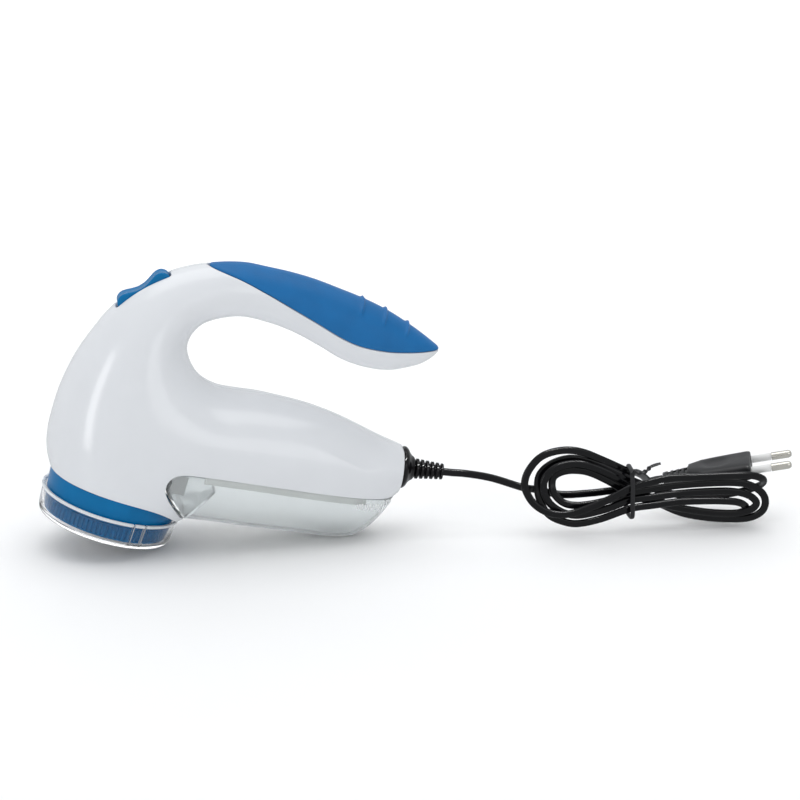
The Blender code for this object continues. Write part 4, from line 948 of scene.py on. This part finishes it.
# Way points of the cord's centre line in mm: each half loop runs from the tie to one end
# of the bundle and back, so the loops cross over at the tie.
COIL = [
    (113, -0.6, 28.6), (125, -5, 27.3), (139.5, -11.5, 23.9), (146.9, -8.5, 21.5),
    (159.7, -9, 18.5), (174.4, -10, 19), (185.3, -10.5, 20), (194.6, -10.5, 20),
    # right loop 1, out of the back low
    (209.9, -10.5, 12.1), (220.2, -10.5, 7.2), (230.1, -11, 4.7), (243.4, -11.5, 3.1),
    (255.2, -13, 3.6), (261.6, -15, 7.7), (262.6, -16.5, 14.1), (259.1, -17, 19.5),
    (251.3, -17.5, 23.4), (238.5, -17.5, 24.4), (218.3, -17.5, 23.9), (204, -17.5, 22.4),
    (193.2, -17.5, 20.9),
    # left loop 1, the innermost
    (180.3, -17.5, 17), (168.5, -17, 15.1), (160.6, -16.5, 16.1), (155.7, -15, 20),
    (154.2, -13, 24.4), (155.2, -12, 28.9), (159.7, -11.5, 31.3), (166.1, -11.5, 31.8),
    (173.9, -12, 30.3), (184.8, -13, 24.8), (194.1, -14, 18.7),
    # right loop 2
    (206.9, -14, 14.1), (219.3, -14, 10.6), (234.5, -14, 7.7), (247.8, -14, 6.7),
    (255.7, -15, 8.7), (258.2, -16, 12.6), (253.7, -17, 17), (245.4, -17.5, 19.5),
    (233.5, -17.5, 20), (218.3, -17.5, 19.5), (204.5, -17.5, 18.1), (193.2, -17.5, 16.9),
    # left loop 2
    (180.3, -17.5, 12.6), (168.5, -17.5, 10.2), (161.1, -17.5, 11.1), (154.7, -17, 14.6),
    (150.8, -17, 19.5), (149.3, -16.5, 25.9), (151.3, -16, 31.3), (157.2, -15, 35.3),
    (166.6, -14.5, 36.3), (175.4, -14.5, 33.8), (184.8, -14.5, 29.1), (193.6, -14, 22.7),
    # right loop 3, the innermost
    (207.4, -13, 15.1), (220.2, -10, 9.2), (236, -7.5, 5.2), (246.3, -7.5, 4.2),
    (252.2, -9.5, 5.7), (253.7, -13, 9.2), (249.3, -16.5, 13.1), (241.4, -17.5, 14.6),
    (230.6, -17.5, 15.1), (218.3, -17.5, 15.1), (204.5, -17.5, 13.8), (193.2, -17.5, 12.5),
    # left loop 3, the lowest
    (178.4, -17.5, 7.7), (166.6, -17.5, 5.7), (158.7, -17, 7.2), (152.3, -16.5, 10.6),
    (148.3, -15, 16.6), (146.9, -13, 23.9), (148.3, -12, 30.8), (154.2, -11.5, 35.8),
    (163.1, -11.5, 38.2), (172, -12, 36.7), (181.8, -13, 32.7), (193.6, -14, 26.7),
    # right loop 4, back behind the others and forward over the top
    (207.4, -11, 20), (220.2, -8, 15.6), (236, -7, 14.1), (250.8, -7.5, 15.6), (259.1, -10.5, 19),
    (261.6, -14.5, 22.5), (260.1, -18, 25.9), (253.7, -20, 28.4), (242.4, -21, 28.9),
    (227.1, -21, 28.9), (212.4, -21, 28.9), (202.5, -21, 27.1), (192.7, -21, 24.5),
    # left loop 4, the outermost, then off to the plug
    (183.8, -21, 20), (172.5, -21, 15.1), (161.6, -21, 12.1), (152.8, -20.5, 12.6),
    (145.9, -20, 16.1), (141.4, -19, 21.5), (139.5, -18, 27.9), (141.9, -17, 34.8),
    (148.3, -16, 41.2), (158.2, -15, 43.6), (168.5, -14, 42.2), (180.3, -12.5, 36.7),
    (193.6, -10.5, 29.7), (198.6, -5.5, 27.4), (203, 1, 23.6)]
TIE_AT = (193.2, -15.8, 21.0)
PLUG_FRAME = (frame_at((215, 8.5, 19.0)) @ Matrix.Rotation(math.radians(-14), 4, "Z")
              @ Matrix.Rotation(math.radians(78.5), 4, "Y"))


def cord_path():
    """Centre line of the cord: out of the tail, round the bundle and into the plug."""
    def on_axis(place, heights):
        return [tuple(c / MM for c in place @ Vector((0, 0, h * MM))) for h in heights]

    return spline(on_axis(TAIL_FRAME, (-23, -8, 6, 24)) + COIL
                  + on_axis(PLUG_FRAME, (-7, -3.4, -1.2, 0.2)), 6)


def swept(path, outline, up=(0.0, 1.0, 0.0), twist=None, grow=None):
    """Tube of any outline along a path; the outline's first axis follows up."""
    pts = np.array(path, float)
    verts = []
    for i, p in enumerate(pts):
        a, b = pts[max(i - 1, 0)], pts[min(i + 1, len(pts) - 1)]
        t = (b - a) / np.linalg.norm(b - a)
        ref = np.array(up, float)
        u = ref - t * ref.dot(t)
        u /= np.linalg.norm(u)
        v = np.cross(t, u)
        ang = twist(i) if twist else 0.0
        ca, sa = math.cos(ang), math.sin(ang)
        k = grow(i) if grow else 1.0
        for c, d in outline:
            verts.append(p + (u * (c * ca - d * sa) + v * (c * sa + d * ca)) * k)
    return verts, tube_faces(len(pts), len(outline))


def make_cord():
    """Flat two-core cord: a waisted oval outline swept along the loops."""
    outline = []
    sides = 20
    for a in (2 * math.pi * k / sides for k in range(sides)):
        waist = 1 - 0.2 * math.exp(-(math.sin(a) / 0.33) ** 2)
        outline.append((CORD_THICK * bent(math.cos(a), 0.8) * waist,
                        CORD_WIDE * bent(math.sin(a), 0.9)))
    add_mesh("power_cord_flat", *swept(cord_path(), outline), RUBBER, "housing", "power_cord")


def make_tie():
    """Wire tie round the cord bundle, its two ends twisted together."""
    turn = np.radians(range(0, 360, 30))
    ribbon = [(0.72 * math.cos(a), 1.15 * math.sin(a)) for a in turn]
    centre = np.array(TIE_AT)
    verts = []
    around, half_deep, half_high, square = 96, 7.9, 12.5, 0.4
    for i in range(around):
        a = 2 * math.pi * i / around
        out = np.array([0.3 * math.sin(2 * a), half_deep * bent(math.cos(a), square),
                        half_high * bent(math.sin(a), square)])
        length = math.hypot(out[1], out[2])
        for c, d in ribbon:
            verts.append(centre + out * (1 + c / length) + np.array([d, 0, 0]))
    faces = tube_faces(around, len(ribbon), closed=True)
    flat = [(0.65 * math.cos(a), 1.2 * math.sin(a)) for a in turn]
    tail = [(-0.2, -7.0, 11.8), (0.6, -8.4, 12.9), (3.4, -8.8, 12.4), (6.4, -9.0, 13.4),
            (8.2, -9.2, 15.4), (10.8, -9.3, 16.5), (13.4, -9.4, 17.2)]
    tail = spline([tuple(centre + p) for p in tail], 8)
    base = len(verts)
    last_turn, thin_from = 34, 44
    more, ends = swept(tail, flat, up=(0.1, 1.0, 0.0), twist=lambda i: min(i, last_turn) * 0.42,
                       grow=lambda i: 1.0 if i < thin_from else 0.85)
    verts += more
    faces += [[base + i for i in f] for f in ends]
    add_mesh("cord_tie_twisted", verts, faces, BLACK, "housing", "cord_tie")


def make_relief():
    """Bell-shaped strain relief with ribs, over a round flange."""
    prof = [(2.9, -7.5), (4.8, -7.5), (4.8, 0.3), (10.5, 0.3, .3), (10.6, 1.6, .5), (9.7, 2.9, 1),
            (8.0, 3.9, 1), (6.6, 5.0, 1), (5.6, 6.6, .8)]
    ribs, first, pitch, groove = 5, 7.7, 2.55, 1.3
    for k in range(ribs):
        h = first + pitch * k
        r = 5.1 - 0.22 * k
        prof += [(r - groove, h - 0.35, .2), (r, h, .25), (r, h + 1.3, .25),
                 (r - groove, h + 1.65, .2)]
    prof += [(3.2, 20.2, .2), (4.1, 20.5, .2), (4.0, 21.6, .3), (2.9, 21.6, .2)]
    add_mesh("strain_relief_ribbed", *lathe(rounded(prof, 0.3), 72), RUBBER, "housing",
             "strain_relief", TAIL_FRAME)


def superellipse(half_x, half_y, power, count):
    turn = [2 * math.pi * k / count for k in range(count)]
    return [(half_x * bent(math.cos(a), power), half_y * bent(math.sin(a), power)) for a in turn]


# Sections of the plug: height, half thickness, half width and the power of their outline.
PLUG = [(0.6, 2.8, 4.2, 0.8), (2.0, 3.0, 4.8, 0.8), (13.0, 3.3, 6.1, 0.75),
        (13.6, 3.7, 6.5, 0.7), (14.0, 4.4, 7.4, 0.6), (16.5, 4.5, 8.8, 0.55),
        (20.5, 4.6, 11.3, 0.5), (27, 4.6, 12.2, .45), (35.0, 4.6, 12.8, 0.4),
        (43.8, 4.6, 13.1, 0.35), (44.9, 4.4, 13.0, 0.35), (45.4, 4.0, 12.6, 0.35)]


def make_plug():
    """Flat two-pin plug: slotted relief, oval finger recess on both faces."""
    heights = np.concatenate([np.linspace(0.6, 13.4, 56), np.linspace(13.6, 45.4, 76)])
    table = np.array(PLUG)
    count = 64
    slots_from, slots_to, slot_pitch, slot_depth = 1.6, 13.2, 2.9, 1.3
    dish_at, dish_depth = 28.0, 1.35
    verts = []
    for h in heights:
        hx, hy, power = (np.interp(h, table[:, 0], table[:, k]) for k in (1, 2, 3))
        slotted = slots_from < h < slots_to and ((h - slots_from) / slot_pitch) % 1.0 > 0.5
        for c, d in superellipse(hx, hy, power, count):
            if slotted and abs(d) < 4.4 and abs(c) > 0.5:
                c -= math.copysign(min(slot_depth, abs(c) * 0.6), c)
            dish = math.exp(-(((h - dish_at) / 7.4) ** 2 + (d / 6.4) ** 2) ** 2)
            c -= math.copysign(dish_depth * dish * min(1, abs(c) / 2), c)
            verts.append((c, d, h))
    add_mesh("plug_body_moulded", verts, tube_faces(len(heights), count), BLACK, "housing",
             "plug_body", PLUG_FRAME, sharp=35)
    for k, y in enumerate((-9.3, 9.3)):
        at = PLUG_FRAME @ Matrix.Translation((0, y * MM, 0))
        sleeve = rounded([(0, 45.8), (1.9, 45.8), (1.9, 55.6), (0, 55.6)], 0.15)
        add_mesh(f"pin_sleeve_{k + 1}_fine", *lathe(sleeve, 48), SLEEVE, "housing",
                 f"pin_sleeve_{k + 1}", at)
        pin = [(0, 55.9), (2.0, 55.9, .2), (2.0, 64.6, .6), (1.3, 65.95, .5), (0, 66.2)]
        add_mesh(f"plug_pin_{k + 1}_fine", *lathe(rounded(pin, 0.2, 4), 48), NICKEL, "housing",
                 f"plug_pin_{k + 1}", at)


# ---- stage, light, camera -----------------------------------------------------------------
def make_stage():
    """Seamless pale sweep under and behind the object."""
    floor, flat_to, bend, half_wide, high = -0.3, 900, 700, 4200, 2600
    prof = [(-2600, floor), (flat_to, floor)]
    prof += [(flat_to + bend * math.sin(a), floor + bend * (1 - math.cos(a)))
             for a in np.linspace(0.1, math.pi / 2, 14)]
    prof.append((flat_to + bend, high))
    verts = [(x, y, z) for y, z in prof for x in (-half_wide, half_wide)]
    faces = [[2 * i, 2 * i + 1, 2 * i + 3, 2 * i + 2] for i in range(len(prof) - 1)]
    mesh = bpy.data.meshes.new("sweep")
    mesh.from_pydata([tuple(c * MM for c in v) for v in verts], [], faces)
    obj = linked("sweep", mesh)
    mesh.materials.append(STAGE)
    mesh.shade_smooth()
    obj.visible_glossy = False


def area(name, at, aim, size, power):
    """Rectangular light that faces a point."""
    data = bpy.data.lights.new(name, "AREA")
    data.shape = "RECTANGLE"
    data.size, data.size_y = size
    data.energy = power
    obj = linked(name, data)
    obj.location = at
    obj.rotation_euler = (Vector(aim) - Vector(at)).to_track_quat("-Z", "Y").to_euler()
    return obj


def make_camera():
    yaw, lift, distance = math.radians(7.0), math.radians(16.5), 1.5
    aim = Vector((79.3, 0, 68.2)) * MM
    back = Vector((-math.sin(yaw) * math.cos(lift), -math.cos(yaw) * math.cos(lift),
                   math.sin(lift)))
    data = bpy.data.cameras.new("camera")
    data.lens = 135.9
    data.clip_end = 20
    obj = linked("camera", data)
    obj.location = aim + back * distance
    obj.rotation_euler = (-back).to_track_quat("-Z", "Y").to_euler()
    bpy.context.scene.camera = obj


STAGE = surface_look("pale_sweep", (0.9, 0.9, 0.9), 0.7, 0.05, 0.005, 3.0, 40.0, 0.0)


def make_pieces():
    dress_cad_nodes()
    half_shell("left_shell_white", "left_shell", -1)
    half_shell("right_shell_white", "right_shell", 1)
    make_grip()
    make_box()
    make_seal()
    make_collar()
    make_cap()
    make_foil_unit()
    make_rocker()
    make_relief()
    make_cord()
    make_tie()
    make_plug()


def make_lights():
    """Studio light: four broad panels and a strip that only the glossy black pieces see."""
    area("key", (-1.5, -1.15, 0.5), (-0.06, 0, 0.08), (0.34, 1.2), 5.0)
    area("front", (1.0, -2.0, 0.9), (0.05, 0, 0.06), (1.4, 0.9), 4.5)
    area("top", (0.1, 0.1, 1.9), (0.08, 0, 0.0), (2.4, 1.6), 17.5)
    strip = area("strip", (0.5, -0.75, 1.45), (0.2, 0, 0.04), (1.0, 0.12), 26)
    dark = bpy.data.collections.new("glossy_black_pieces")
    for name in ("power_cord_flat", "cord_tie_twisted", "plug_body_moulded",
                 "strain_relief_ribbed"):
        dark.objects.link(bpy.data.objects[name])
    strip.light_linking.receiver_collection = dark
    area("backdrop", (0.1, 0.6, 1.2), (0.1, 1.7, 1.0), (3.2, 0.5), 32)
    world = bpy.data.worlds.new("studio")
    bpy.context.scene.world = world
    world.use_nodes = True
    world.node_tree.nodes["Background"].inputs["Color"].default_value = (0.95, 0.975, 1, 1)
    world.node_tree.nodes["Background"].inputs["Strength"].default_value = 0.62
    bpy.context.scene.view_settings.view_transform = "Standard"


def main():
    """Pieces, then stage, camera and light."""
    make_pieces()
    make_stage()
    make_camera()
    make_lights()


main()
